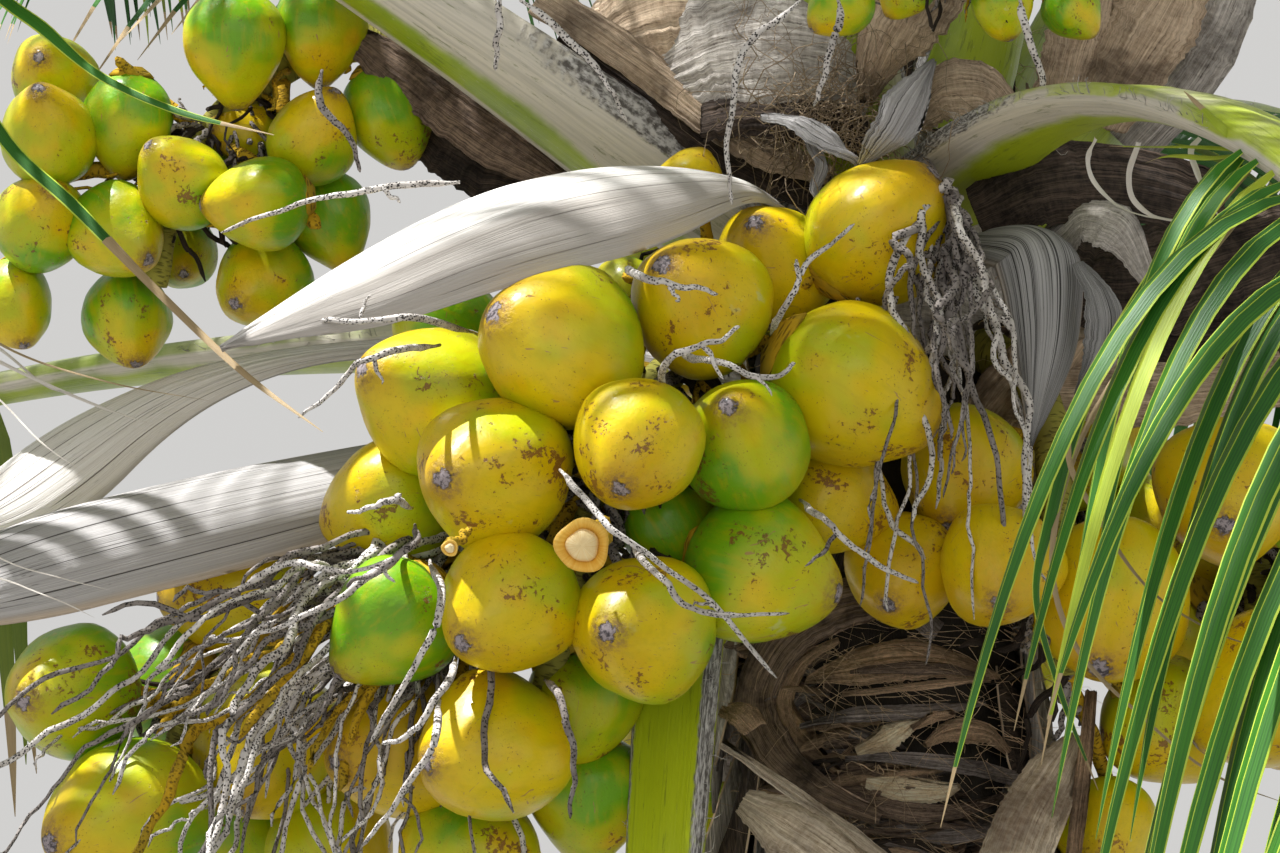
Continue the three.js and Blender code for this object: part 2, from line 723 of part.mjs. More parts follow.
function place(name, make, material) {
  addPiece(name, cutClear(make(0)), material);
  stand(largestPiece(make(clearance)));
}

// The limbs stand first, so that everything later keeps clear of them.
addPiece('trunk', makeTrunk(), looks.bark);
stand(makeTrunk(clearance));
for (let i = 0; i < stubs.count; i += 1) {
  place(`cut_leaf_base_${i + 1}`, (grow) => makeStub(i, grow), looks.stub);
}
const paths = Array.from({ length: crown.leaves }, (_, k) => leafPath(k));
const olderRibs = paths.map((path, k) => {
  const before = [...standing];
  stand(ribSolid(path, ribStations(path.spec), new Map(), clearance), `leaf ${k}`);
  return before;
});
place('spear_leaf', makeSpear, looks.spear);
for (const shell of bracts) place(shell.name, (grow) => makeBract(shell, grow), looks.bract);
for (const bunch of bunches) place(bunch.name, (grow) => makeBunch(bunch, grow), looks.nut);
for (const stalk of flowerStalks) place(stalk.name, (grow) => makeFlowerStalk(stalk, grow), looks.stalk);

// Each frond, cut clear of the trunk and of the ribs that stood before its own.
paths.forEach((path, k) => {
  const chosen = roomyLeaflets(path, `leaf ${k}`);
  const stations = ribStations(path.spec);
  const split = path.spec.bend >= crown.splitBend && path.spec.length > crown.splitLength;
  const parts = split ? splitStations(stations, path.spec.length) : [stations];
  const names = split ? ['_inner', '_outer'] : [''];
  parts.forEach((part, i) => {
    const whole = ribSolid(path, part, chosen);
    const box = boxOf(whole);
    const close = olderRibs[k].filter((other) => other.box.intersectsBox(box));
    const clear = largestPiece(close.reduce((body, other) => body.subtract(other.solid), whole));
    addPiece(`frond_${String(k + 1).padStart(2, '0')}${names[i]}`, clear, looks.frond);
  });
});

export default palm;
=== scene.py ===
import math
import bmesh
import bpy
import numpy as np
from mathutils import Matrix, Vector, noise


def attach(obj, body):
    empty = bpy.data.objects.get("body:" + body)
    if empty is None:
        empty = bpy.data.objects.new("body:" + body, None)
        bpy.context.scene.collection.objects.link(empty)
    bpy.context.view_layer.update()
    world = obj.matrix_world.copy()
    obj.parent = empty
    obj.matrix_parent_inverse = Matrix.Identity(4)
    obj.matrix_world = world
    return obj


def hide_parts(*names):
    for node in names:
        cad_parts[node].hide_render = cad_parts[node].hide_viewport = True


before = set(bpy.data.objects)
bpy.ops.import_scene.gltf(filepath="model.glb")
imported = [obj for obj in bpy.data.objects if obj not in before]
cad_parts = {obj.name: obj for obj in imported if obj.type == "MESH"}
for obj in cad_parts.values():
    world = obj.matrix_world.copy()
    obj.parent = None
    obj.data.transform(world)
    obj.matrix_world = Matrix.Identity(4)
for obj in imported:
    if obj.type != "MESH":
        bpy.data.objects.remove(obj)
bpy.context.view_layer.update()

# A coconut palm in metres. The crown's axis stands at crownPlace, heights are from the ground.
crownPlace = np.array([0.150, 0.060, 0.0])
goldenTurn = 137.5
rng = np.random.default_rng(11)

view = {
    'place': (-0.155, -4.889, 2.194),
    'lookUp': 12,  # degrees above the horizon
    'pixelsAcross': 1280,
    'pixelsDown': 853,
    'focalPixels': 4062,
    'sensor': 36,
    'farthest': 200,
}


# Shader maths: a Value is one socket, a Finish one material.
class Value:
    def __init__(self, finish, socket):
        self.finish = finish
        self.socket = socket

    def sum(self, operation, first, second):
        return self.finish.node('ShaderNodeMath', {'operation': operation}, {0: first, 1: second})

    def __add__(self, other):
        return self.sum('ADD', self, other)

    def __radd__(self, other):
        return self.sum('ADD', other, self)

    def __sub__(self, other):
        return self.sum('SUBTRACT', self, other)

    def __rsub__(self, other):
        return self.sum('SUBTRACT', other, self)

    def __mul__(self, other):
        return self.sum('MULTIPLY', self, other)

    def __pow__(self, other):
        return self.sum('POWER', self, other)


class Finish:
    def __init__(self, name, **fixed):
        self.material = bpy.data.materials.new(name)
        self.material.use_nodes = True
        self.tree = self.material.node_tree
        self.shader = self.tree.nodes['Principled BSDF']
        self.sources = {}
        for socket, value in fixed.items():
            self.feed(self.shader.inputs[socket.replace('_', ' ')], value)

    def feed(self, target, value):
        if isinstance(value, Value):
            self.tree.links.new(value.socket, target)
        elif target.type == 'RGBA' and len(value) == 3:
            target.default_value = (*value, 1)
        else:
            target.default_value = value

    def node(self, kind, settings, sockets, output=0):
        made = self.tree.nodes.new(kind)
        for setting, value in settings.items():
            setattr(made, setting, value)
        for socket, value in sockets.items():
            self.feed(made.inputs[socket], value)
        return Value(self, made.outputs[output])

    def source(self, kind, settings, output=0):
        # made once for each material
        key = (kind, *settings.values(), output)
        if key not in self.sources:
            self.sources[key] = self.node(kind, settings, {}, output)
        return self.sources[key]

    def attribute(self, name, output='Fac'):
        return self.source('ShaderNodeAttribute', {'attribute_name': name}, output)

    def place(self):
        return self.source('ShaderNodeTexCoord', {}, 'Object')

    def skin(self):
        return self.source('ShaderNodeUVMap', {'uv_map': 'skin'})

    def parts(self, vector):
        return [self.node('ShaderNodeSeparateXYZ', {}, {0: vector}, i) for i in range(3)]

    def stretched(self, vector, scale, shift=(0, 0, 0)):
        return self.node('ShaderNodeMapping', {}, {'Vector': vector, 'Scale': scale, 'Location': shift})

    def grain(self, vector, scale=1.0, detail=3.0, harshness=0.55, warp=0.0):
        sockets = {'Vector': vector, 'Scale': scale, 'Detail': detail, 'Roughness': harshness,
                   'Distortion': warp}
        return self.node('ShaderNodeTexNoise', {}, sockets)

    def skinGrain(self, scale, detail=3.0, harshness=0.55, warp=0.0, shift=(0, 0, 0)):
        # x runs across or round a piece, y along it
        return self.grain(self.stretched(self.skin(), scale, shift), 1.0, detail, harshness, warp)

    def cells(self, vector):
        return self.node('ShaderNodeTexVoronoi', {}, {'Vector': vector, 'Scale': 1.0})

    def step(self, value, low, high):
        settings = {'interpolation_type': 'SMOOTHSTEP', 'clamp': True}
        return self.node('ShaderNodeMapRange', settings, {'Value': value, 'From Min': low, 'From Max': high})

    def blend(self, first, second, share):
        return self.node('ShaderNodeMix', {'data_type': 'RGBA'}, {0: share, 6: first, 7: second}, 2)

    def bump(self, height, depth):
        sockets = {'Strength': 1.0, 'Distance': depth, 'Height': height}
        return self.node('ShaderNodeBump', {}, sockets)

    def dress(self, **varying):
        for socket, value in varying.items():
            self.feed(self.shader.inputs[socket.replace('_', ' ')], value)
        return self.material


# The finishes
def nutFinish():
    f = Finish('nutHusk', Coat_Weight=0.14, Coat_Roughness=0.2, Specular_IOR_Level=0.32)
    local = f.attribute('husk', 'Vector')  # x, y across and z towards the tip, in nut radii
    across, over, height = f.parts(local)
    tone = f.attribute('tone')
    chance = f.attribute('chance', 'Vector')
    turn = f.node('ShaderNodeVectorMath', {'operation': 'ADD'}, {0: local, 1: chance})
    broad = f.grain(turn, 0.8, 2.0)
    greenness = tone + (broad - 0.5) * 2.2 - height * 0.42 + 0.06
    colour = f.blend((0.68, 0.50, 0.001), (0.46, 0.48, 0.001), f.step(greenness, 0.15, 0.62))
    colour = f.blend(colour, (0.62, 0.38, 0.002), (1 - f.step(greenness, -0.55, 0.05)) * 0.8)
    colour = f.blend(colour, (0.15, 0.36, 0.003), f.step(greenness, 0.62, 1.10))
    ripe = f.step(f.grain(turn, 1.5, 3.0), 0.44, 0.70)
    colour = f.blend(colour, (0.66, 0.37, 0.001), ripe * (1 - f.step(greenness, 0.3, 0.6)) * 0.5)
    streaks = f.grain(f.stretched(turn, (9, 9, 1.2)), 1.0, 3.0)
    colour = f.blend(colour, (0.50, 0.39, 0.001), f.step(streaks, 0.45, 0.75) * 0.4)
    # red-brown mottles lie in loose clusters
    mottle = f.grain(turn, 12.0, 5.0, 0.72, 0.4)
    cluster = (f.grain(turn, 1.5, 3.0) - 0.5) * 1.1 + (f.grain(turn, 0.11, 1.0) - 0.5) * 0.45
    mottled = f.step(mottle + cluster, 0.715, 0.775)
    fine = f.step(f.grain(turn, 36.0, 3.0, 0.6), 0.63, 0.70) * f.step(f.grain(turn, 2.6, 2.0), 0.40, 0.54)
    colour = f.blend(colour, (0.20, 0.070, 0.018), f.step(mottled + fine * 0.8, 0.05, 0.8) * 0.85)
    scuffs = f.grain(f.stretched(turn, (3, 3, 3)), 3.0, 8.0, 0.8)
    scuffed = f.step(scuffs, 0.58, 0.66) * f.step(f.grain(turn, 1.25, 2.0), 0.54, 0.62)
    colour = f.blend(colour, (0.16, 0.060, 0.020), scuffed * 0.75)
    # a few pale waxy patches and long thin scratches
    wax = f.step(f.grain(f.stretched(turn, (1, 1, 0.6)), 1.1, 4.0, 0.7), 0.67, 0.72)
    colour = f.blend(colour, (0.50, 0.55, 0.26), wax * 0.4)
    scratch = f.grain(f.stretched(turn, (3, 16, 2)), 1.0, 2.0, 0.5, 1.2)
    colour = f.blend(colour, (0.36, 0.20, 0.07), f.step(scratch, 0.71, 0.74) * 0.8)
    # the dark star that the flower leaves at the tip, in a dull ring
    ragged = f.grain(turn, 7.0, 5.0, 0.75) * 0.40
    reach = (across * across + over * over) ** 0.5 + ragged - 0.20
    front = f.step(height, 0.5, 0.7)
    tip = (1 - f.step(reach, 0.110, 0.150)) * front
    ring = (1 - f.step(reach, 0.14, 0.34)) * front
    halo = (1 - f.step(reach, 0.16, 0.62)) * front
    colour = f.blend(colour, (0.46, 0.24, 0.005), halo * 0.45)
    colour = f.blend(colour, (0.21, 0.115, 0.05), ring * f.step(mottle, 0.36, 0.60) * 0.8)
    star = f.blend((0.05, 0.042, 0.048), (0.33, 0.28, 0.29), f.step(mottle, 0.40, 0.56))
    colour = f.blend(colour, star, tip)
    dry = f.step(f.grain(turn, 2.6, 5.0), 0.3, 0.7)
    relief = f.grain(turn, 3.2, 3.0) * 0.5 + fine * -0.10 - mottled * 0.14 - tip * 0.8 - ring * 0.4
    return f.dress(Base_Color=colour, Roughness=0.33 + dry * 0.13 + tip * 0.3 + scuffed * 0.2,
                   Normal=f.bump(relief, 0.003))


def bractFinish(name, light, dark, crack, edge, lined=1.0):
    # weathered boat-shaped sheath: fine lines run from its foot to its point
    f = Finish(name, Specular_IOR_Level=0.25)
    lines = f.skinGrain((260, 2.2, 1), 4.0, 0.62)
    broad = f.skinGrain((14, 1.1, 1), 4.0, 0.6, shift=(3, 5, 0))
    colour = f.blend(light, dark, f.step(lines, 0.40, 0.66) * 0.55 + f.step(broad, 0.42, 0.70) * 0.45)
    cracks = f.skinGrain((95 * lined, 1.4, 1), 2.0, 0.5, shift=(9, 2, 0))
    split = f.step(cracks, 0.635 - 0.05 * (lined - 1), 0.665 - 0.05 * (lined - 1))
    colour = f.blend(colour, crack, split * 0.85)
    specks = f.skinGrain((160, 40, 1), 2.0, 0.6)
    colour = f.blend(colour, crack, f.step(specks, 0.66, 0.74) * 0.5)
    # rim lays the edge colour on worn rims and the inner side; on the front bract it also paints shade over
    # the side below the crest
    rim = f.attribute('rim')
    colour = f.blend(colour, edge, f.step(rim + (broad - 0.5) * 0.3, 0.55, 1.0) * 0.75)
    relief = lines * 0.7 - split * 1.1 + broad * 0.4
    return f.dress(Base_Color=colour, Roughness=0.72 + lines * 0.2, Normal=f.bump(relief, 0.0022))


def ribFinish():
    # leaf stalk: green face, pale waxy flanks, ragged grey-brown margin near the foot
    f = Finish('leafStalk', Coat_Weight=0.12, Coat_Roughness=0.35)
    margin = f.attribute('margin')  # 1 along the upper edges near the foot
    pale = f.attribute('pale')  # 1 where the skin is bleached, 0 where it is green
    young = f.attribute('young')
    blotch = f.grain(f.place(), 9.0, 4.0, 0.6)
    lines = f.skinGrain((70, 3.5, 1), 4.0, 0.6)
    green = f.blend((0.15, 0.24, 0.008), (0.31, 0.40, 0.008), f.step(blotch, 0.35, 0.62))
    green = f.blend(green, (0.42, 0.50, 0.008), young * 0.9)
    green = f.blend(green, (0.10, 0.15, 0.01), f.step(lines, 0.58, 0.74) * 0.35)
    grey = f.blend((0.60, 0.55, 0.46), (0.45, 0.415, 0.345), f.step(lines, 0.35, 0.70))
    colour = f.blend(green, grey, f.step(pale + (blotch - 0.5) * 0.7, 0.35, 0.75))
    soot = f.skinGrain((40, 9, 1), 6.0, 0.75, shift=(4, 1, 0))
    colour = f.blend(colour, (0.09, 0.12, 0.01), f.step(soot, 0.56, 0.64) * 0.55)
    flecks = f.skinGrain((90, 60, 1), 3.0, 0.6, shift=(1, 7, 0))
    colour = f.blend(colour, (0.50, 0.46, 0.36), f.step(flecks, 0.63, 0.70) * 0.5 * (1 - young))
    fringe = f.step(margin + (f.skinGrain((30, 60, 1), 4.0) - 0.5) * 0.7, 0.45, 0.7)
    dry = f.blend((0.09, 0.08, 0.07), (0.50, 0.48, 0.45), f.step(flecks * 0.6 + lines * 0.4, 0.42, 0.60))
    colour = f.blend(colour, dry, fringe)
    relief = lines * 0.6 + fringe * soot
    return f.dress(Base_Color=colour, Roughness=0.36 + fringe * 0.5 + f.step(pale, 0.3, 0.9) * 0.2,
                   Normal=f.bump(relief, 0.0018))


def leafletFinish(name, deep, bright):
    f = Finish(name, Coat_Weight=0.04, Coat_Roughness=0.35, Specular_IOR_Level=0.36)
    veins = f.skinGrain((60, 3, 1), 3.0, 0.5)
    broad = f.grain(f.place(), 3.5, 3.0)
    colour = f.blend(deep, bright, f.step(broad * 0.6 + veins * 0.4, 0.34, 0.66))
    return f.dress(Base_Color=colour, Roughness=0.40 + veins * 0.16, Normal=f.bump(veins, 0.0006))


def twigFinish(name, pale, dark, share):
    # bare flower twigs: pale bark set with small dark scars where the flowers sat
    f = Finish(name, Specular_IOR_Level=0.2)
    scars = f.cells(f.stretched(f.skin(), (8, 330, 1)))
    rough = f.skinGrain((16, 500, 1), 3.0, 0.7)
    broad = f.grain(f.place(), 24.0, 3.0)
    colour = f.blend(pale, dark, f.step(broad, 0.40, 0.68) * 0.6)
    colour = f.blend(colour, (0.018, 0.015, 0.013), (1 - f.step(scars + rough * 0.3, 0.40, 0.56)) * share)
    relief = f.step(scars, 0.15, 0.5) + broad * 0.6
    return f.dress(Base_Color=colour, Roughness=0.8 + broad * 0.15, Normal=f.bump(relief, 0.0018))


def fibreFinish(name, pale, mid, dark, fineness=1.0):
    # old leaf sheaths: matted threads that run along the piece, crossed by finer ones
    f = Finish(name, Specular_IOR_Level=0.2)
    threads = f.skinGrain((90 * fineness, 10, 1), 6.0, 0.72, 0.9)
    crossing = f.skinGrain((14, 110, 1), 5.0, 0.65, shift=(7, 3, 0))
    broad = f.grain(f.place(), 9.0, 5.0, 0.65)
    colour = f.blend(mid, pale, f.step(threads * 0.8 + crossing * 0.2, 0.44, 0.60))
    colour = f.blend(colour, dark, f.step(broad, 0.47, 0.66) * 0.75)
    colour = f.blend(colour, pale, f.attribute('rim') * f.step(crossing, 0.40, 0.62) * 0.8)
    colour = f.blend(dark, colour, f.step(threads * 0.7 + crossing * 0.3, 0.34, 0.44))
    relief = threads + crossing * 0.4
    return f.dress(Base_Color=colour, Roughness=0.84 + threads * 0.12, Normal=f.bump(relief, 0.006))


def trunkFinish():
    f = Finish('palmBark', Specular_IOR_Level=0.2)
    broad = f.grain(f.place(), 4.5, 5.0, 0.65)
    fine = f.grain(f.stretched(f.place(), (60, 60, 26)), 1.0, 6.0, 0.7)
    upright = f.skinGrain((110, 5, 1), 4.0, 0.6)
    colour = f.blend((0.25, 0.21, 0.16), (0.40, 0.36, 0.29), f.step(broad, 0.35, 0.65))
    colour = f.blend(colour, (0.12, 0.095, 0.07), f.step(fine, 0.48, 0.68) * 0.6)
    colour = f.blend(colour, (0.07, 0.055, 0.04), f.step(upright, 0.60, 0.68) * 0.7)
    # near-black in the ring scars, and painted shade over the whole matted top
    colour = f.blend(colour, (0.022, 0.017, 0.013), f.attribute('groove') * 0.96)
    relief = fine * 0.8 + upright * 0.5 + broad * 0.5
    return f.dress(Base_Color=colour, Roughness=0.85 + fine * 0.1, Normal=f.bump(relief, 0.006))


finishes = {
    'nut': nutFinish(),
    'rib': ribFinish(),
    'trunk': trunkFinish(),
    'bractWhite': bractFinish('paleBract', (0.84, 0.81, 0.77), (0.58, 0.53, 0.47), (0.17, 0.14, 0.12),
                              (0.36, 0.325, 0.29)),
    'bractGrey': bractFinish('greyBract', (0.50, 0.48, 0.47), (0.28, 0.265, 0.255), (0.04, 0.035, 0.03),
                             (0.58, 0.44, 0.30)),
    'bractLined': bractFinish('linedBract', (0.44, 0.43, 0.42), (0.13, 0.125, 0.12), (0.012, 0.011, 0.010),
                              (0.50, 0.42, 0.34), 2.0),
    'leaflet': leafletFinish('leafletGreen', (0.008, 0.070, 0.005), (0.045, 0.20, 0.008)),
    'leafletYellow': leafletFinish('leafletYellow', (0.22, 0.32, 0.012), (0.42, 0.50, 0.03)),
    'leafletOld': leafletFinish('leafletOld', (0.10, 0.16, 0.012), (0.22, 0.27, 0.02)),
    'leafletEdge': leafletFinish('leafletEdge', (0.34, 0.48, 0.02), (0.58, 0.68, 0.08)),
    'leafletTip': leafletFinish('leafletTip', (0.34, 0.24, 0.12), (0.48, 0.36, 0.20)),
    'twig': twigFinish('flowerTwig', (0.64, 0.60, 0.56), (0.26, 0.22, 0.19), 0.95),
    'twigDark': twigFinish('oldTwig', (0.27, 0.24, 0.22), (0.10, 0.08, 0.07), 0.85),
    'twigFresh': twigFinish('fruitTwig', (0.50, 0.30, 0.012), (0.26, 0.20, 0.02), 0.5),
    'stalk': twigFinish('fruitStalk', (0.30, 0.28, 0.05), (0.20, 0.17, 0.04), 0.35),
    'fibreTan': fibreFinish('tanSheath', (0.84, 0.66, 0.47), (0.54, 0.39, 0.26), (0.11, 0.075, 0.050)),
    'fibreGrey': fibreFinish('greySheath', (0.80, 0.74, 0.67), (0.45, 0.40, 0.345), (0.09, 0.075, 0.062)),
    'fibreCream': fibreFinish('creamSheath', (0.88, 0.76, 0.58), (0.60, 0.47, 0.32), (0.20, 0.13, 0.085)),
    # dark old fibre; the heap finishes' darkest colours are darkened further as painted shade for the gaps
    # between the heap's layers
    'heapTan': fibreFinish('tanHeap', (0.92, 0.63, 0.39), (0.44, 0.29, 0.18), (0.12, 0.080, 0.054), 1.4),
    'heapGrey': fibreFinish('greyHeap', (0.55, 0.46, 0.41), (0.23, 0.19, 0.165), (0.05, 0.040, 0.034), 1.4),
    'heapBrown': fibreFinish('brownHeap', (0.48, 0.34, 0.24), (0.16, 0.11, 0.08), (0.025, 0.018, 0.014), 1.4),
    # painted shade: dark old fibre whose colours are darkened further to stand in for the shade in the
    # crown's heart
    'fibreDark': fibreFinish('darkSheathAndShade', (0.14, 0.10, 0.075), (0.045, 0.034, 0.027), (0.010, 0.008, 0.007)),
    'pith': fibreFinish('dryPith', (1.0, 0.90, 0.66), (0.90, 0.70, 0.44), (0.52, 0.36, 0.21), 0.4),
    'thread': twigFinish('looseThread', (0.42, 0.32, 0.21), (0.20, 0.14, 0.09), 0.0),
    'threadTan': twigFinish('tanThread', (0.80, 0.58, 0.36), (0.42, 0.28, 0.17), 0.0),
    'threadPale': twigFinish('paleThread', (0.62, 0.59, 0.54), (0.40, 0.36, 0.31), 0.0),
    'cup': leafletFinish('freshCup', (0.74, 0.36, 0.02), (0.88, 0.58, 0.12)),
    'cupCore': leafletFinish('freshCupCore', (0.78, 0.52, 0.20), (0.92, 0.78, 0.46)),
    'stripPale': leafletFinish('paleStrip', (0.62, 0.56, 0.48), (0.80, 0.75, 0.68)),
}


# Making meshes
def show(piece, slot, *nodes):
    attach(piece, 'root')
    if nodes:
        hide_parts(*nodes)


def link(name, mesh, kinds):
    # kinds names the finishes, in the order of the faces' material numbers
    for kind in kinds.split():
        mesh.materials.append(finishes[kind])
    piece = bpy.data.objects.new(name, mesh)
    bpy.context.scene.collection.objects.link(piece)
    return piece


def grid(name, across, along, shape, kinds, values=None, length=1.0):
    # A closed grid whose corners shape(u, v) puts in place: u runs around, v along.
    made = bmesh.new()
    skin = made.loops.layers.uv.new('skin')
    bmesh.ops.create_grid(made, x_segments=across, y_segments=along, size=0.5, calc_uvs=True)
    u, v = (np.array([corner.co[axis] for corner in made.verts]) + 0.5 for axis in (0, 1))
    layers = {key: made.verts.layers.float.new(key) for key in (values or {})}
    for key, layer in layers.items():
        for corner, amount in zip(made.verts, values[key](u, v)):
            corner[layer] = float(amount)
    for corner, place in zip(made.verts, shape(u, v)):
        corner.co = place
    for face in made.faces:
        face.smooth = True
        for loop in face.loops:
            loop[skin].uv.y *= length
    bmesh.ops.remove_doubles(made, verts=made.verts, dist=1e-5)
    rims = [edge for edge in made.edges if edge.is_boundary]
    bmesh.ops.holes_fill(made, edges=rims, sides=0)
    bmesh.ops.recalc_face_normals(made, faces=made.faces)
    mesh = bpy.data.meshes.new(name)
    made.to_mesh(mesh)
    made.free()
    return link(name, mesh, kinds)


def strips(name, corners, kinds, closed=True, dealt=None, values=None):
    # Many like strips or tubes joined: corners are [strip, ring, corner] points.
    count, rings, around = corners.shape[:3]
    wide = around if closed else around - 1
    i, j = np.meshgrid(np.arange(rings - 1), np.arange(wide), indexing='ij')
    after = (j + 1) % around
    face = np.stack([i * around + j, i * around + after, (i + 1) * around + after, (i + 1) * around + j], -1)
    face = face.reshape(-1, 4)
    start = (np.arange(count) * rings * around)[:, None, None]
    polygons = (face[None] + start).reshape(-1, 4).tolist()
    steps = np.linalg.norm(np.diff(corners.mean(2), axis=1), axis=2)
    reach = np.concatenate([np.zeros((count, 1)), np.cumsum(steps, 1)], 1)
    u = np.stack([j, j + 1, j + 1, j], -1).reshape(-1, 4) / wide
    v = np.stack([reach[:, i], reach[:, i], reach[:, i + 1], reach[:, i + 1]], -1).reshape(count, -1, 4)
    uv = np.stack([np.broadcast_to(u, v.shape), v], -1).reshape(-1, 2)
    if closed:
        ends = np.arange(around)
        polygons += (start[:, 0] + ends[::-1]).tolist()
        polygons += (start[:, 0] + (rings - 1) * around + ends).tolist()
        uv = np.concatenate([uv, np.tile([[0.5, 0.0]], (2 * count * around, 1))])
    mesh = bpy.data.meshes.new(name)
    mesh.from_pydata(corners.reshape(-1, 3).tolist(), [], polygons)
    mesh.uv_layers.new(name='skin').data.foreach_set('uv', uv.astype(np.float32).ravel())
    for key, amounts in (values or {}).items():
        kind, part = ('FLOAT_VECTOR', 'vector') if amounts.ndim == 2 else ('FLOAT', 'value')
        layer = mesh.attributes.new(key, kind, 'POINT')
        layer.data.foreach_set(part, amounts.astype(np.float32).ravel())
    if dealt is not None:
        numbers = np.zeros(len(polygons), np.int32)
        numbers[:count * len(face)] = np.broadcast_to(dealt, (count, len(face))).ravel()
        mesh.polygons.foreach_set('material_index', numbers)
    mesh.polygons.foreach_set('use_smooth', np.ones(len(polygons), bool))
    mesh.update()
    return link(name, mesh, kinds)


def linear(table, x):
    return np.interp(x, [at for at, value in table], [value for at, value in table])


def between(limits, share):
    low, high = limits
    return low + (high - low) * share


def unit(vectors):
    return vectors / np.maximum(np.linalg.norm(vectors, axis=-1, keepdims=True), 1e-9)


def spots(*parts):
    return np.stack(np.broadcast_arrays(*parts), -1)


def onRing(turn, radius, z=0):
    return spots(np.cos(turn) * radius, np.sin(turn) * radius, z)


def roughness(places, scale, octaves=3):
    # one height of noise for each place
    found = [noise.fractal(Vector(place * scale), 1.0, 2.0, octaves) for place in places.reshape(-1, 3)]
    return np.reshape(found, places.shape[:-1])


def smoothRoute(points, shares):
    # Centripetal spline through the points, as the solids have it.
    p = np.array(points, float)
    p = np.concatenate([[2 * p[0] - p[1]], p, [2 * p[-1] - p[-2]]])
    at = np.clip(shares, 0, 1) * (len(p) - 3)
    first = np.minimum(at.astype(int), len(p) - 4)
    w = (at - first)[:, None]
    a, b, c, d = (p[first + i] for i in range(4))
    t0, t1, t2 = (np.linalg.norm(y - x, axis=1, keepdims=True) ** 0.5 for x, y in ((a, b), (b, c), (c, d)))
    m1 = ((b - a) / t0 - (c - a) / (t0 + t1) + (c - b) / t1) * t1
    m2 = ((c - b) / t1 - (d - b) / (t1 + t2) + (d - c) / t2) * t1
    return (b + m1 * w + (3 * (c - b) - 2 * m1 - m2) * w ** 2 + (2 * (b - c) + m1 + m2) * w ** 3)


def framesAlong(places, hint):
    along = unit(np.gradient(places, axis=-2))
    across = unit(np.cross(along, hint))
    return along, across, np.cross(across, along)


def tubes(places, radii, sides):
    # Corners of round tubes along [strip, ring] places.
    along, across, up = framesAlong(places, np.array((0.31, 0.22, 0.92)))
    turn = 2 * np.pi * np.arange(sides) / sides
    spread = across[..., None, :] * np.cos(turn)[:, None] + up[..., None, :] * np.sin(turn)[:, None]
    return places[..., None, :] + spread * radii[..., None, None]


def wander(count, rings, size, calm=3):
    # Smooth random drift that starts at nothing, one path per strip.
    steps = rng.normal(size=(count, rings + 2 * calm, 3))
    kernel = np.ones(calm) / calm
    soft = np.apply_along_axis(lambda line: np.convolve(line, kernel, 'same'), 1, steps)[:, calm:-calm]
    path = np.cumsum(soft, 1)
    path -= path[:, :1]
    return path * size / np.sqrt(rings)


def seen(right, down, far):
    # The point at a pixel of the view, far metres in front of the camera.
    tilt = math.radians(view['lookUp'])
    ahead = np.array([0, math.cos(tilt), math.sin(tilt)])
    above = np.array([0, -math.sin(tilt), math.cos(tilt)])
    x = (right - view['pixelsAcross'] / 2) / view['focalPixels']
    y = (view['pixelsDown'] / 2 - down) / view['focalPixels']
    return np.array(view['place']) + far * (ahead + x * np.array([1, 0, 0]) + y * above)


# The trunk
trunk = {
    'top': 4.15,
    'lean': (0.150, 0.060, 0),
    'straightFrom': 2.6,
    'radius': [(0, 0.235), (0.12, 0.200), (0.4, 0.165), (1.0, 0.150), (2.4, 0.135), (2.8, 0.140),
               (3.0, 0.155), (3.3, 0.165), (3.6, 0.150), (3.9, 0.110), (4.15, 0.070)],
    'around': 120,
    'along': 430,
    'crowding': 1.15,  # above 1 the rows stand closer near the ground
    'ringPitch': 0.062,
    'ringWidth': 0.13,  # half the width of a leaf's scar, as a share of the pitch
    'ringWobble': 0.35,
    'ringDepth': 0.006,
    'barkDepth': 0.005,
    'fibreFrom': 2.55,
    'fibreBlend': 0.25,
    'fibreDepth': 0.012,
    'plainFoot': 0.03,  # no relief below this height
    'reliefAt': 0.15,  # the radius on which the relief is laid out
}


def trunkAxis(z):
    below = np.maximum(0, 1 - z / trunk['straightFrom']) ** 2
    return crownPlace - below[:, None] * np.array(trunk['lean']) + np.outer(z, [0, 0, 1])


def trunkRelief(turn, z):
    # Ring scars low down, matted fibre under the crown. The second value darkens the ring scars and, over the
    # matted fibre, paints the shade of the gaps between the torn layers.
    places = onRing(turn, trunk['reliefAt'], z)
    wobble = roughness(places, 5.0)
    phase = (z / trunk['ringPitch'] + trunk['ringWobble'] * wobble) % 1
    rings = np.exp(-((phase - 0.5) / trunk['ringWidth']) ** 2)
    fibrous = np.clip((z - trunk['fibreFrom']) / trunk['fibreBlend'], 0, 1)
    bark = roughness(places, 22.0, 4) * trunk['barkDepth']
    matted = roughness(places * np.array([1, 1, 2.5]), 14.0, 4) * trunk['fibreDepth']
    # darker in the scars, and painted shade all over the matted fibre
    groove = rings * 0.6 * (1 - fibrous) + fibrous
    return (bark - trunk['ringDepth'] * rings) * (1 - fibrous) + matted * fibrous, np.clip(groove, 0, 1)


def trunkPlaces(u, v):
    return u * 2 * np.pi, trunk['top'] * v ** trunk['crowding']


def trunkShape(u, v):
    turn, z = trunkPlaces(u, v)
    relief = trunkRelief(turn % (2 * np.pi), z)[0]
    radius = linear(trunk['radius'], z) + relief * np.clip(z / trunk['plainFoot'], 0, 1)
    return trunkAxis(z) + onRing(turn, radius)


def trunkScarsAndShade(u, v):
    turn, z = trunkPlaces(u, v)
    return trunkRelief(turn % (2 * np.pi), z)[1]


trunkPiece = grid('palm_trunk', trunk['around'], trunk['along'], trunkShape, 'trunk',
                  values={'groove': trunkScarsAndShade}, length=trunk['top'])
show(trunkPiece, 'bark', 'trunk')

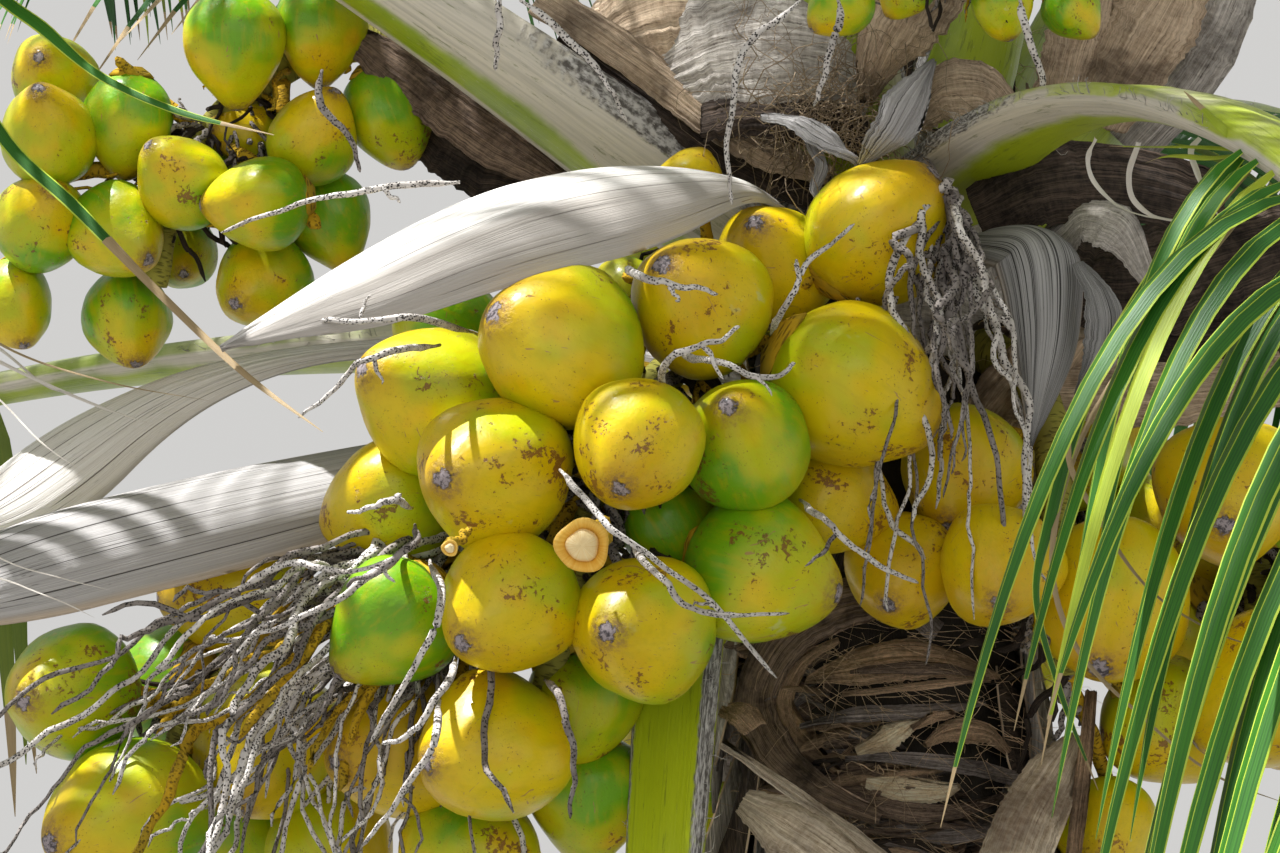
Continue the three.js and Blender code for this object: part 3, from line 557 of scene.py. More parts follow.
# What is left of old leaf bases lies in torn layers, one over the other, up to the crown.
tornLayers = {
    'count': 300, 'rings': 34, 'height': (2.50, 3.38),
    'reach': (0.008, 0.042),  # how far a layer's rim stands out
    'tall': (0.006, 0.022),  # half its height
    'span': (40, 130),  # degrees round the trunk
    'tilt': 0.10, 'sag': 0.09, 'waviness': 0.008,
    'section': [(-0.5, 0.9), (0.30, 0.80), (0.75, 0.45), (1.0, 0.05), (0.95, -0.15), (0.5, -0.35),
                (-0.5, -0.5)],
    'finishes': 'heapBrown heapGrey heapTan fibreDark',
    'shares': (0.36, 0.26, 0.20, 0.18),
}


def tornCorners():
    count, rings = tornLayers['count'], tornLayers['rings']
    order = np.arange(count)
    chance = rng.random((count, 6))
    middle = between(tornLayers['height'], order * 0.618 % 1)
    reach, tall, span = (between(tornLayers[key], chance[:, i] ** 1.4)[:, None]
                         for i, key in enumerate(('reach', 'tall', 'span')))
    share = np.linspace(0, 1, rings)
    turn = np.radians(goldenTurn * order)[:, None] + np.radians(span) * (share - 0.5)
    tilt = (chance[:, 3] - 0.5) * tornLayers['tilt']
    sag = (chance[:, 4] - 0.35) * tornLayers['sag']
    z = middle[:, None] + tilt[:, None] * (share - 0.5) - sag[:, None] * (4 * (share - 0.5) ** 2)
    places = onRing(turn, trunk['reliefAt'], z * 1.7 + order[:, None])
    coarse, ragged = roughness(places, 9.0, 2), roughness(places, 45.0, 3)
    fade = np.sin(np.pi * share) ** 0.4
    out = reach * fade * np.clip(1 + 0.7 * coarse + 0.5 * ragged, 0.15, 2)
    half = tall * fade * np.clip(1 + 0.5 * coarse + 0.3 * ragged, 0.3, 2)
    z = z + tornLayers['waviness'] * coarse
    section = np.array(tornLayers['section'])
    high = z[..., None] + half[..., None] * section[:, 1]
    radius = linear(trunk['radius'], high) + out[..., None] * section[:, 0]
    corners = trunkAxis(high.ravel()).reshape(*high.shape, 3) + onRing(turn[..., None], radius)
    rim = np.broadcast_to(np.clip(section[:, 0] - 0.3, 0, 1) * 1.4, high.shape) * chance[:, 5][:, None, None]
    return corners, rim


corners, rim = tornCorners()
dealt = rng.choice(4, (len(corners), 1), p=tornLayers['shares'])
layers = strips('trunk_torn_layers', corners, tornLayers['finishes'], dealt=dealt, values={'rim': rim})
show(layers, 'bark', 'trunk')
print('trunk done')

# The leaves
leaves = {
    'count': 22,
    'firstAzimuth': -125,
    'baseHeight': 3.3,
    'rowHeight': 0.025,
    'seat': 0.8,  # how far out in the trunk a leaf starts, as a share of the radius
    'bareLength': 0.85,
    'rise': (-12, 96, 6.5),  # the oldest leaf's, what the youngest gain, and how slowly
    'power': 1.6,
    'limit': 86,
    'sway': (7, 2.4),
    'length': [(0, 3.0), (1, 3.6), (2, 3.9), (14, 3.9), (16, 3.6), (21, 3.0)],
    'bend': [(0, 50), (3, 80), (5, 75), (8, 70), (11, 60), (14, 50), (18, 38), (21, 28)],
    'scale': [(0, 1), (10, 1), (21, 0.55)],
    'width': [(0, 0.165), (0.3, 0.130), (0.85, 0.100), (1.3, 0.066), (4.0, 0.014)],
    'thickness': [(0, 0.070), (0.3, 0.058), (0.85, 0.044), (1.3, 0.032), (4.0, 0.009)],
    'spread': [(14, 1), (21, 0.45)],
    'lift': [(0, -30), (4, -20), (9, 5), (21, 12)],
    'droop': [(0, 2.4), (4, 2), (9, 1.2), (21, 0.8)],
    'splitBend': 65,
    'splitLength': 3.5,
    'grownUntil': 2.0,
    'step': 0.02,
}
oddLeaves = {
    0: {'azimuth': -132, 'height': 3.26, 'rise': -20, 'bend': 400, 'power': 0.96, 'limit': 84, 'sway': 0},
    1: {'height': 3.345, 'rise': 16, 'sway': 0},
    2: {'height': 3.36, 'rise': 8.5, 'bareLength': 1.3, 'sway': 0, 'stout': 1.6},
    3: {'height': 3.48, 'rise': 17, 'bend': 130, 'power': 0.75, 'bareLength': 1.0, 'sway': 0,
        'leafletWidth': 0.8, 'droop': 1.6, 'loose': 2.2},
    5: {'height': 3.44, 'rise': 31, 'bareLength': 1.1, 'sway': 0, 'stout': 2.4, 'broad': 1.3},
}


class LeafPath:
    def __init__(self, k):
        odd = oddLeaves.get(k, {})
        oldest, gain, slowing = leaves['rise']
        swing, swingTurn = leaves['sway']
        height = odd.get('height', leaves['baseHeight'] + leaves['rowHeight'] * k)
        self.azimuth = odd.get('azimuth', leaves['firstAzimuth'] + goldenTurn * k)
        self.rise = odd.get('rise', oldest + gain * (1 - math.exp(-k / slowing)))
        self.bend = odd.get('bend', linear(leaves['bend'], k))
        self.power = odd.get('power', leaves['power'])
        self.limit = odd.get('limit', leaves['limit'])
        self.sway = odd.get('sway', swing * math.sin(swingTurn * k + 1))
        self.leafletWidth, self.loose = odd.get('leafletWidth', 1), odd.get('loose', 1)
        self.stout, self.broad = odd.get('stout', 1), odd.get('broad', 1)
        self.length, self.scale, self.spread, self.lift, self.droop = (
            float(linear(leaves[key], k)) for key in ('length', 'scale', 'spread', 'lift', 'droop'))
        self.bareLength = odd.get('bareLength', leaves['bareLength']) * self.scale
        self.droop *= odd.get('droop', 1)
        self.split = self.bend >= leaves['splitBend'] and self.length > leaves['splitLength']
        self.start(leaves['seat'] * linear(trunk['radius'], height), height)

    def start(self, seat, height):
        turn, step = math.radians(self.azimuth), leaves['step']
        first = crownPlace + [seat * math.cos(turn), seat * math.sin(turn), height]
        self.stations = np.arange(0, self.length + 2 * step, step)
        along = self.frame(self.stations[:-1] + step / 2)[0]
        self.places = np.concatenate([[first], first + np.cumsum(along * step, 0)])

    def frame(self, s):
        share = np.maximum(0, s) / self.length
        turn = np.radians(self.azimuth + self.sway * share ** 2)
        slope = np.radians(np.maximum(self.rise - self.bend * share ** self.power, -self.limit))
        out, up = onRing(turn, 1), np.array([0, 0, 1.0])
        along = out * np.cos(slope)[..., None] + up * np.sin(slope)[..., None]
        above = -out * np.sin(slope)[..., None] + up * np.cos(slope)[..., None]
        return along, above, spots(np.sin(turn), -np.cos(turn), 0)

    def grown(self, factor, s):
        # Some feet are broader and stouter than the rule has it, less and less towards the tip.
        return 1 + (factor - 1) * np.clip(1 - s / leaves['grownUntil'], 0, 1)

    def point(self, s):
        return np.stack([np.interp(s, self.stations, self.places[:, axis]) for axis in range(3)], -1)

    def halfWide(self, s):
        return linear(leaves['width'], s) * self.scale / 2

    def nodes(self, k):
        name = f'frond_{k + 1:02d}'
        return [name + '_inner', name + '_outer'] if self.split else [name]


ribShape = {
    'around': 36,
    'along': 104,
    'crowding': 1.3,  # above 1 the rows stand closer near the foot
    'channel': 0.30,  # depth of the channelled face, as a share of the thickness
    'channelUntil': 1.3,
    'ridge': (0.35, 0.4),  # height and half width of the ridge on the far half's face
    'fringe': 0.006,
    'fringeUntil': 0.9,
    # how bleached the underside and the upper face are, on which hand only, how far round it
    # starts and how sharply
    'bleached': {0: (0.05, 0, 0, 0, 0), 1: (0.35, 0.5, 0, 0, 0), 2: (0.95, 0.55, -1, 0.72, 1.5),
                 3: (0.98, 0.5, 1, 0.45, 1.1), 5: (1.1, 0.85, -1, 0.42, 1.5), 6: (0.1, 0.1, 0, 0, 0),
                 11: (0.25, 0.1, 0, 0, 0)},
    'bothFlanks': 5,  # this leaf's other flank is pale too
    'plain': (0.6, 0.1, 0, 0, 0),
    'young': {0: 1.0, 1: 0.4, 3: 0.8, 5: 0.3, 11: 0.3},
    'marginLength': {0: 0.9},
}


def ribCorners(path, u, s):
    # Flat or channelled face on top, rounded below, thin margins between them.
    along, above, side = path.frame(s)
    wide = path.halfWide(s) * path.grown(path.broad, s)
    thick = linear(leaves['thickness'], s) * path.scale / 2 * path.grown(path.stout, s)
    turn = u * 2 * np.pi
    across, high = np.cos(turn), np.sin(turn)
    early = np.clip(1 - s / ribShape['channelUntil'], 0, 1)
    face = np.where(high > 0, high ** 0.55, -np.abs(high) ** 0.8)
    dip = np.where(high > 0, early * (1 - across ** 2) * (1 + ribShape['channel']), 0)
    tall, narrow = ribShape['ridge']
    ridge = np.where(high > 0, (1 - early) * tall * np.exp(-(across / narrow) ** 2), 0)
    lift = face - dip * 0.9 + ridge
    edge = np.exp(-((np.abs(across) - 1) / 0.06) ** 2) * np.clip(1 - s / ribShape['fringeUntil'], 0, 1)
    wide = wide + edge * ribShape['fringe'] * roughness(spots(s * 40, across * 3, path.azimuth), 1.0)
    return path.point(s) + side * (across * wide)[:, None] + above * (lift * thick)[:, None]


paths = [LeafPath(k) for k in range(leaves['count'])]
for k, path in enumerate(paths):
    lower, upper, hand, turned, sharp = ribShape['bleached'].get(k, ribShape['plain'])
    marginLength = ribShape['marginLength'].get(k, 0.45)

    def stations(v):
        return v ** ribShape['crowding'] * path.length

    def bleached(u, v):
        # the keel stays green longest, and so does the far half
        turn = u * 2 * np.pi
        flank = 0.35 + 0.65 * np.abs(np.cos(turn)) ** 0.8
        if hand:
            flank = np.clip(0.5 + sharp * (hand * np.cos(turn) - turned), 0, 1)
        if k == ribShape['bothFlanks']:
            flank = flank + 0.8 * np.clip((np.cos(turn) - 0.05) * 4, 0, 1)
        return np.where(np.sin(turn) < 0, lower * flank, upper) * np.clip(1.35 - v * 1.3, 0, 1)

    def marginal(u, v):
        # it reaches further in on the upper face
        turn = u * 2 * np.pi
        edge = np.exp(-((np.abs(np.cos(turn)) - 1) / np.where(np.sin(turn) > 0, 0.22, 0.03)) ** 2)
        return edge * np.clip(1.5 - stations(v) / marginLength, 0, 1)

    rib = grid(f'frond_{k + 1:02d}_rib', ribShape['around'], ribShape['along'],
               lambda u, v: ribCorners(path, u, stations(v)), 'rib',
               values={'pale': bleached, 'margin': marginal,
                       'young': lambda u, v: np.full_like(u, ribShape['young'].get(k, 0.2))},
               length=path.length)
    show(rib, 'frond_leaf', *path.nodes(k))
print('leaf ribs done')

leaflet = {
    'pitch': 0.036,
    'longest': 0.9,
    'longestAt': 0.35,
    'rootShare': 0.65,
    'tipShare': 0.32,
    'angle': (68, 28),  # to the rib, at its root and at its tip
    'angleChance': 3.5,
    'liftChance': 7,
    'lengthChance': 0.04,
    'droopChance': 0.12,
    'width': 0.034,
    'slimmest': 0.7,
    'fold': 0.45,
    'segments': 8,
    'moreSegments': {3: 6},
    'shape': [(0, 0.30), (0.06, 0.75), (0.2, 1), (0.55, 0.9), (0.85, 0.45), (1, 0.04)],
    'across': (-1, 0, 1),
    'acrossNear': (-1, -0.86, -0.04, 0, 0.04, 0.86, 1),  # with a midrib and pale edges
    'near': (0, 3),
    'old': (0.55, 0.04),  # share of old leaflets in the oldest leaves and in the others
    'yellow': 0.05,
    'oldLeaves': 3,
    'dryTip': (1.4, 0.8),
    'dryTipSegments': 2.6,
    'finishes': 'leaflet leafletYellow leafletOld leafletEdge leafletTip',
}


def leafletLength(t):
    rising = leaflet['longest'] * (1 - (1 - leaflet['rootShare']) * (1 - t / leaflet['longestAt']) ** 2)
    late = np.clip((t - leaflet['longestAt']) / (1 - leaflet['longestAt']), 0, 1)
    falling = leaflet['longest'] * (1 - (1 - leaflet['tipShare']) * late ** 1.8)
    return np.where(t < leaflet['longestAt'], rising, falling)


def leafletCorners(path, hand, count, segments, across):
    # Each leaflet leaves the rib by the solids' rule and folds down along its midrib.
    t = (np.arange(count) + 0.5) / count
    s = path.bareLength + t * (path.length - path.bareLength) * 0.995
    along, above, side = path.frame(s)
    chance = rng.normal(size=(count, 4))
    angle = np.radians(between(leaflet['angle'], t) * path.spread
                       + chance[:, 0] * leaflet['angleChance'] * path.loose)
    lift = np.radians(path.lift + chance[:, 1] * leaflet['liftChance'] * path.loose)
    first = along * np.cos(angle)[:, None] + side * (hand * np.cos(lift) * np.sin(angle))[:, None] \
        + above * (np.sin(lift) * np.sin(angle))[:, None]
    length = leafletLength(t) * (1 + chance[:, 2] * leaflet['lengthChance'] * path.loose)
    droop = path.droop * (1 + chance[:, 3] * leaflet['droopChance'] * path.loose)
    u = (np.arange(segments) + 0.5) / segments
    heading = unit(first[:, None] - (droop[:, None] * u)[..., None] * np.array([0, 0, 1.0]))
    root = path.point(s) + side * (hand * path.halfWide(s) * 0.8)[:, None]
    steps = heading * (length / segments)[:, None, None]
    places = np.concatenate([root[:, None], root[:, None] + np.cumsum(steps, 1)], 1)
    heading = np.concatenate([heading[:, :1], heading], 1)
    flat = unit(along[:, None] - heading * (along[:, None] * heading).sum(-1, keepdims=True))
    over = np.cross(heading, flat)
    over *= np.sign((over * above[:, None]).sum(-1, keepdims=True) + 1e-9)
    shares = linear(leaflet['shape'], np.arange(segments + 1) / segments)
    half = leaflet['width'] / 2 * shares[None] * (0.8 + 0.4 * leafletLength(t)[:, None] / leaflet['longest'])
    half = half * max(path.scale, leaflet['slimmest']) * path.leafletWidth
    across = np.array(across)
    fold = 1 - np.abs(across)
    return places[:, :, None] + flat[:, :, None] * (across * half[..., None])[..., None] \
        + over[:, :, None] * (fold * half[..., None] * leaflet['fold'])[..., None]


for k, path in enumerate(paths):
    count = int((path.length - path.bareLength) / leaflet['pitch'])
    segments = leaflet['segments'] + leaflet['moreSegments'].get(k, 0)
    near, young = k in leaflet['near'], int(k >= leaflet['oldLeaves'])
    across = leaflet['acrossNear' if near else 'across']
    corners = np.concatenate([leafletCorners(path, hand, count, segments, across) for hand in (1, -1)])
    dealt = np.zeros((2 * count, segments, len(across) - 1), int)
    mood = rng.random((2 * count, 1, 1))
    dealt[:] = np.where(mood < leaflet['old'][young], 2, np.where(mood > 1 - leaflet['yellow'], 1, 0))
    if near:
        dealt[:, :, [0, 2, 3, -1]] = 3
    dry = rng.random(2 * count) * leaflet['dryTipSegments'] * leaflet['dryTip'][young]
    for j in range(segments):
        dealt[:, j] = np.where((segments - j <= dry)[:, None], 4, dealt[:, j])
    blades = strips(f'frond_{k + 1:02d}_leaflets', corners, leaflet['finishes'], closed=False,
                    dealt=dealt.reshape(2 * count, -1))
    show(blades, 'frond_leaf', *path.nodes(k))
print('leaflets done')

# The closed spear and the cut leaf bases
spear = {
    'azimuth': 140, 'rise': 86, 'bend': 6, 'length': 2.2, 'start': 4.11,
    'width': [(0, 0.078), (0.9, 0.062), (2.2, 0.010)],
    'pleats': 9, 'pleatDepth': 0.13, 'twist': 5, 'around': 72, 'along': 90,
}


class PlainPath(LeafPath):
    def __init__(self, azimuth, height, seat, rise, bend, power, length):
        self.azimuth, self.rise, self.bend, self.power = azimuth, rise, bend, power
        self.limit, self.sway, self.length = leaves['limit'], 0, length
        self.start(seat, height)


spearPath = PlainPath(spear['azimuth'], spear['start'], 0, spear['rise'], spear['bend'], 2, spear['length'])


def spearShape(u, v):
    s = v * spear['length']
    along, above, side = spearPath.frame(s)
    turn = u * 2 * np.pi
    pleat = 1 + spear['pleatDepth'] * np.cos(turn * spear['pleats'] + spear['twist'] * v)
    radius = linear(spear['width'], s) / 2 * pleat
    return spearPath.point(s) + side * (np.cos(turn) * radius)[:, None] \
        + above * (np.sin(turn) * radius)[:, None]


folds = grid('spear_leaf_folds', spear['around'], spear['along'], spearShape, 'leafletEdge',
             length=spear['length'])
show(folds, 'young_leaf', 'spear_leaf')

stub = {'count': 6, 'rowHeight': 0.05, 'rise': 42, 'length': 0.19, 'growth': 0.012,
        'broken': {4: 0.06}, 'width': (0.160, 0.118), 'thickness': (0.062, 0.040),
        'around': 48, 'along': 34, 'puff': 0.14, 'tornFrom': 0.8, 'tornOver': 0.2, 'tornDepth': 0.02}
for i in range(stub['count']):
    height = leaves['baseHeight'] - stub['rowHeight'] * (i + 1)
    length = stub['broken'].get(i, stub['length'] + stub['growth'] * (i % 3))
    stubPath = PlainPath(leaves['firstAzimuth'] - goldenTurn * (i + 1), height,
                         leaves['seat'] * linear(trunk['radius'], height), stub['rise'], 0, 1, length)

    def stubShape(u, v):
        s = v * length
        along, above, side = stubPath.frame(s)
        turn = u * 2 * np.pi
        wide, thick = between(stub['width'], v) / 2, between(stub['thickness'], v) / 2
        torn = roughness(onRing(turn, 2, s * 12 + i * 9), 1.6)
        puff = 1 + stub['puff'] * torn
        ragged = np.clip((v - stub['tornFrom']) / stub['tornOver'], 0, 1) * torn * stub['tornDepth']
        across, high = np.cos(turn), np.sin(turn)
        return stubPath.point(s) + along * ragged[:, None] + side * (across * wide * puff)[:, None] \
            + above * (np.where(high > 0, high * 0.75, high) * thick * puff)[:, None]

    base = grid(f'cut_leaf_base_{i + 1}_fibres', stub['around'], stub['along'], stubShape,
                'fibreTan' if i % 2 else 'fibreDark', length=length)
    show(base, 'old_leaf_base', f'cut_leaf_base_{i + 1}')
print('spear and cut bases done')


# The dry bracts
def arched(route, halfAt, out, depth, thickness, groove, seed):
    # A thin sheet arched over a route, outer side first, then back along the inner one.
    def shape(u, v):
        places = smoothRoute(route, v) + crownPlace
        step = 0.01
        along = unit(smoothRoute(route, v + step) - smoothRoute(route, v - step))
        crest = unit(np.array(out, float) - along * (along @ np.array(out, float))[:, None])
        across = np.cross(along, crest)
        outer = u < 0.5
        w = acrossSheet(u)
        half = halfAt(v)
        widest = math.radians(62)
        bow = widest * w
        high = -depth * half * (1 - np.cos(bow)) / (1 - math.cos(widest))
        wide = half * np.sin(bow) / math.sin(widest)
        lines = roughness(spots(w * 11, v * 1.2, seed), 1.0, 3)
        wave = roughness(spots(w * 1.2, v * 4, seed + 5), 1.0, 2)
        body = np.where(outer, groove * lines, -thickness * (1 - w ** 8))
        return places + across * wide[:, None] + crest * (high + body + wave * 0.004)[:, None]
    return shape


def acrossSheet(u):
    # from -1 to 1 over the outer side, then back under it
    return np.where(u < 0.5, 4 * u - 1, 3 - 4 * u)


def rimAmount(u, v):
    return np.where(u < 0.5, np.abs(acrossSheet(u)) ** 3, 1)


def paintedShadeBelowCrest(u, v):
    # painted shade: the side below the crest, up to the crest, takes the darker edge colour as if it lay in
    # shade
    return np.where(u < 0.5, np.clip(0.62 - 1.3 * acrossSheet(u), 0, 1), 1)


bracts = {
    'dry_bract_front': {
        'width': 0.172, 'out': (0.1, -0.74, 0.66), 'finish': 'bractWhite', 'rim': paintedShadeBelowCrest,
        'route': [(-0.075, -0.095, 3.425), (-0.19, -0.39, 3.455), (-0.42, -0.52, 3.4), (-0.62, -0.56, 3.3),
                  (-0.77, -0.566, 3.215)],
        'outline': [(0, 0.3), (0.2, 0.15), (0.26, 0.3), (0.38, 0.95), (0.52, 1), (0.78, 0.66), (1, 0.03)]},
    'dry_bract_left': {
        'width': 0.16, 'out': (0, -0.9, 0.45), 'finish': 'bractGrey',
        'route': [(-0.12, -0.01, 3.25), (-0.4, -0.09, 3.215), (-0.64, -0.125, 3.165), (-1.0, -0.19, 3.065),
                  (-1.28, -0.225, 2.95)],
        'outline': [(0, 0.35), (0.2, 0.5), (0.45, 0.75), (0.65, 1), (0.8, 0.95), (1, 0.03)]},
    'dry_bract_left_high': {
        'width': 0.15, 'out': (0.1, -0.8, 0.6), 'finish': 'bractWhite',
        'route': [(-0.115, 0.03, 3.31), (-0.48, 0.04, 3.365), (-0.86, 0.025, 3.315), (-1.17, -0.03, 3.1)],
        'outline': [(0, 0.2), (0.55, 0.2), (0.7, 0.55), (0.86, 1), (0.95, 0.8), (1, 0.04)]},
    'broken_bract_right': {
        'width': 0.118, 'out': (0.35, -0.85, 0.35), 'finish': 'bractLined',
        'route': [(0.045, -0.12, 3.4), (0.1, -0.3, 3.418), (0.165, -0.385, 3.385), (0.174, -0.38, 3.29),
                  (0.148, -0.35, 3.148)]},
    'dry_bract_back_right': {
        'width': 0.14, 'out': (0.3, 0.5, 0.8), 'finish': 'bractGrey',
        'route': [(0.08, 0.08, 3.4), (0.33, 0.24, 3.52), (0.56, 0.36, 3.47), (0.72, 0.44, 3.3)]},
    'dry_bract_back': {
        'width': 0.14, 'out': (-0.1, 0.6, 0.8), 'finish': 'bractWhite',
        'route': [(-0.02, 0.13, 3.3), (-0.01, 0.4, 3.4), (0.03, 0.64, 3.33), (0.06, 0.8, 3.15)]},
}
bractForm = {'around': 72, 'along': 106, 'thickness': 0.006, 'depth': 0.55, 'groove': 0.0016,
             'outline': [(0, 0.4), (0.2, 0.7), (0.4, 0.98), (0.6, 1), (0.8, 0.75), (1, 0.03)],
             'easing': 0.06, 'pointUntil': 1.02, 'pointLength': 0.07}

for seed, (name, spec) in enumerate(bracts.items()):
    def halfAt(v):
        # the outline's corners eased by a short running mean
        table = spec.get('outline', bractForm['outline'])
        shifts = np.linspace(-bractForm['easing'], bractForm['easing'], 7)
        eased = np.mean([linear(table, np.clip(v + shift, 0, 1)) for shift in shifts], 0)
        return spec['width'] / 2 * eased * np.clip((bractForm['pointUntil'] - v) / bractForm['pointLength'],
                                                   0.1, 1)

    length = np.linalg.norm(np.diff(np.array(spec['route']), axis=0), axis=1).sum()
    shape = arched(spec['route'], halfAt, spec['out'], bractForm['depth'], bractForm['thickness'],
                   bractForm['groove'], seed * 7.3)
    shell = grid(name + '_shell', bractForm['around'], bractForm['along'], shape, spec['finish'],
                 values={'rim': spec.get('rim', rimAmount)}, length=length)
    show(shell, 'dry_bract', name)
print('bracts done')

# The nuts
nut = {
    'around': 40, 'along': 30, 'backAround': 28, 'backAlong': 20,
    'long': 1.10,  # length over width
    'ridge': (0.030, 0.080),
    'taper': (0.10, 0.30),  # how much slimmer the tip half is
    'point': 0.09,
    'lumps': 0.030,
    'twig': (0.008, 0.004),  # radius of a grown nut's twig and of a young one's
    'grownFrom': 0.04,
}
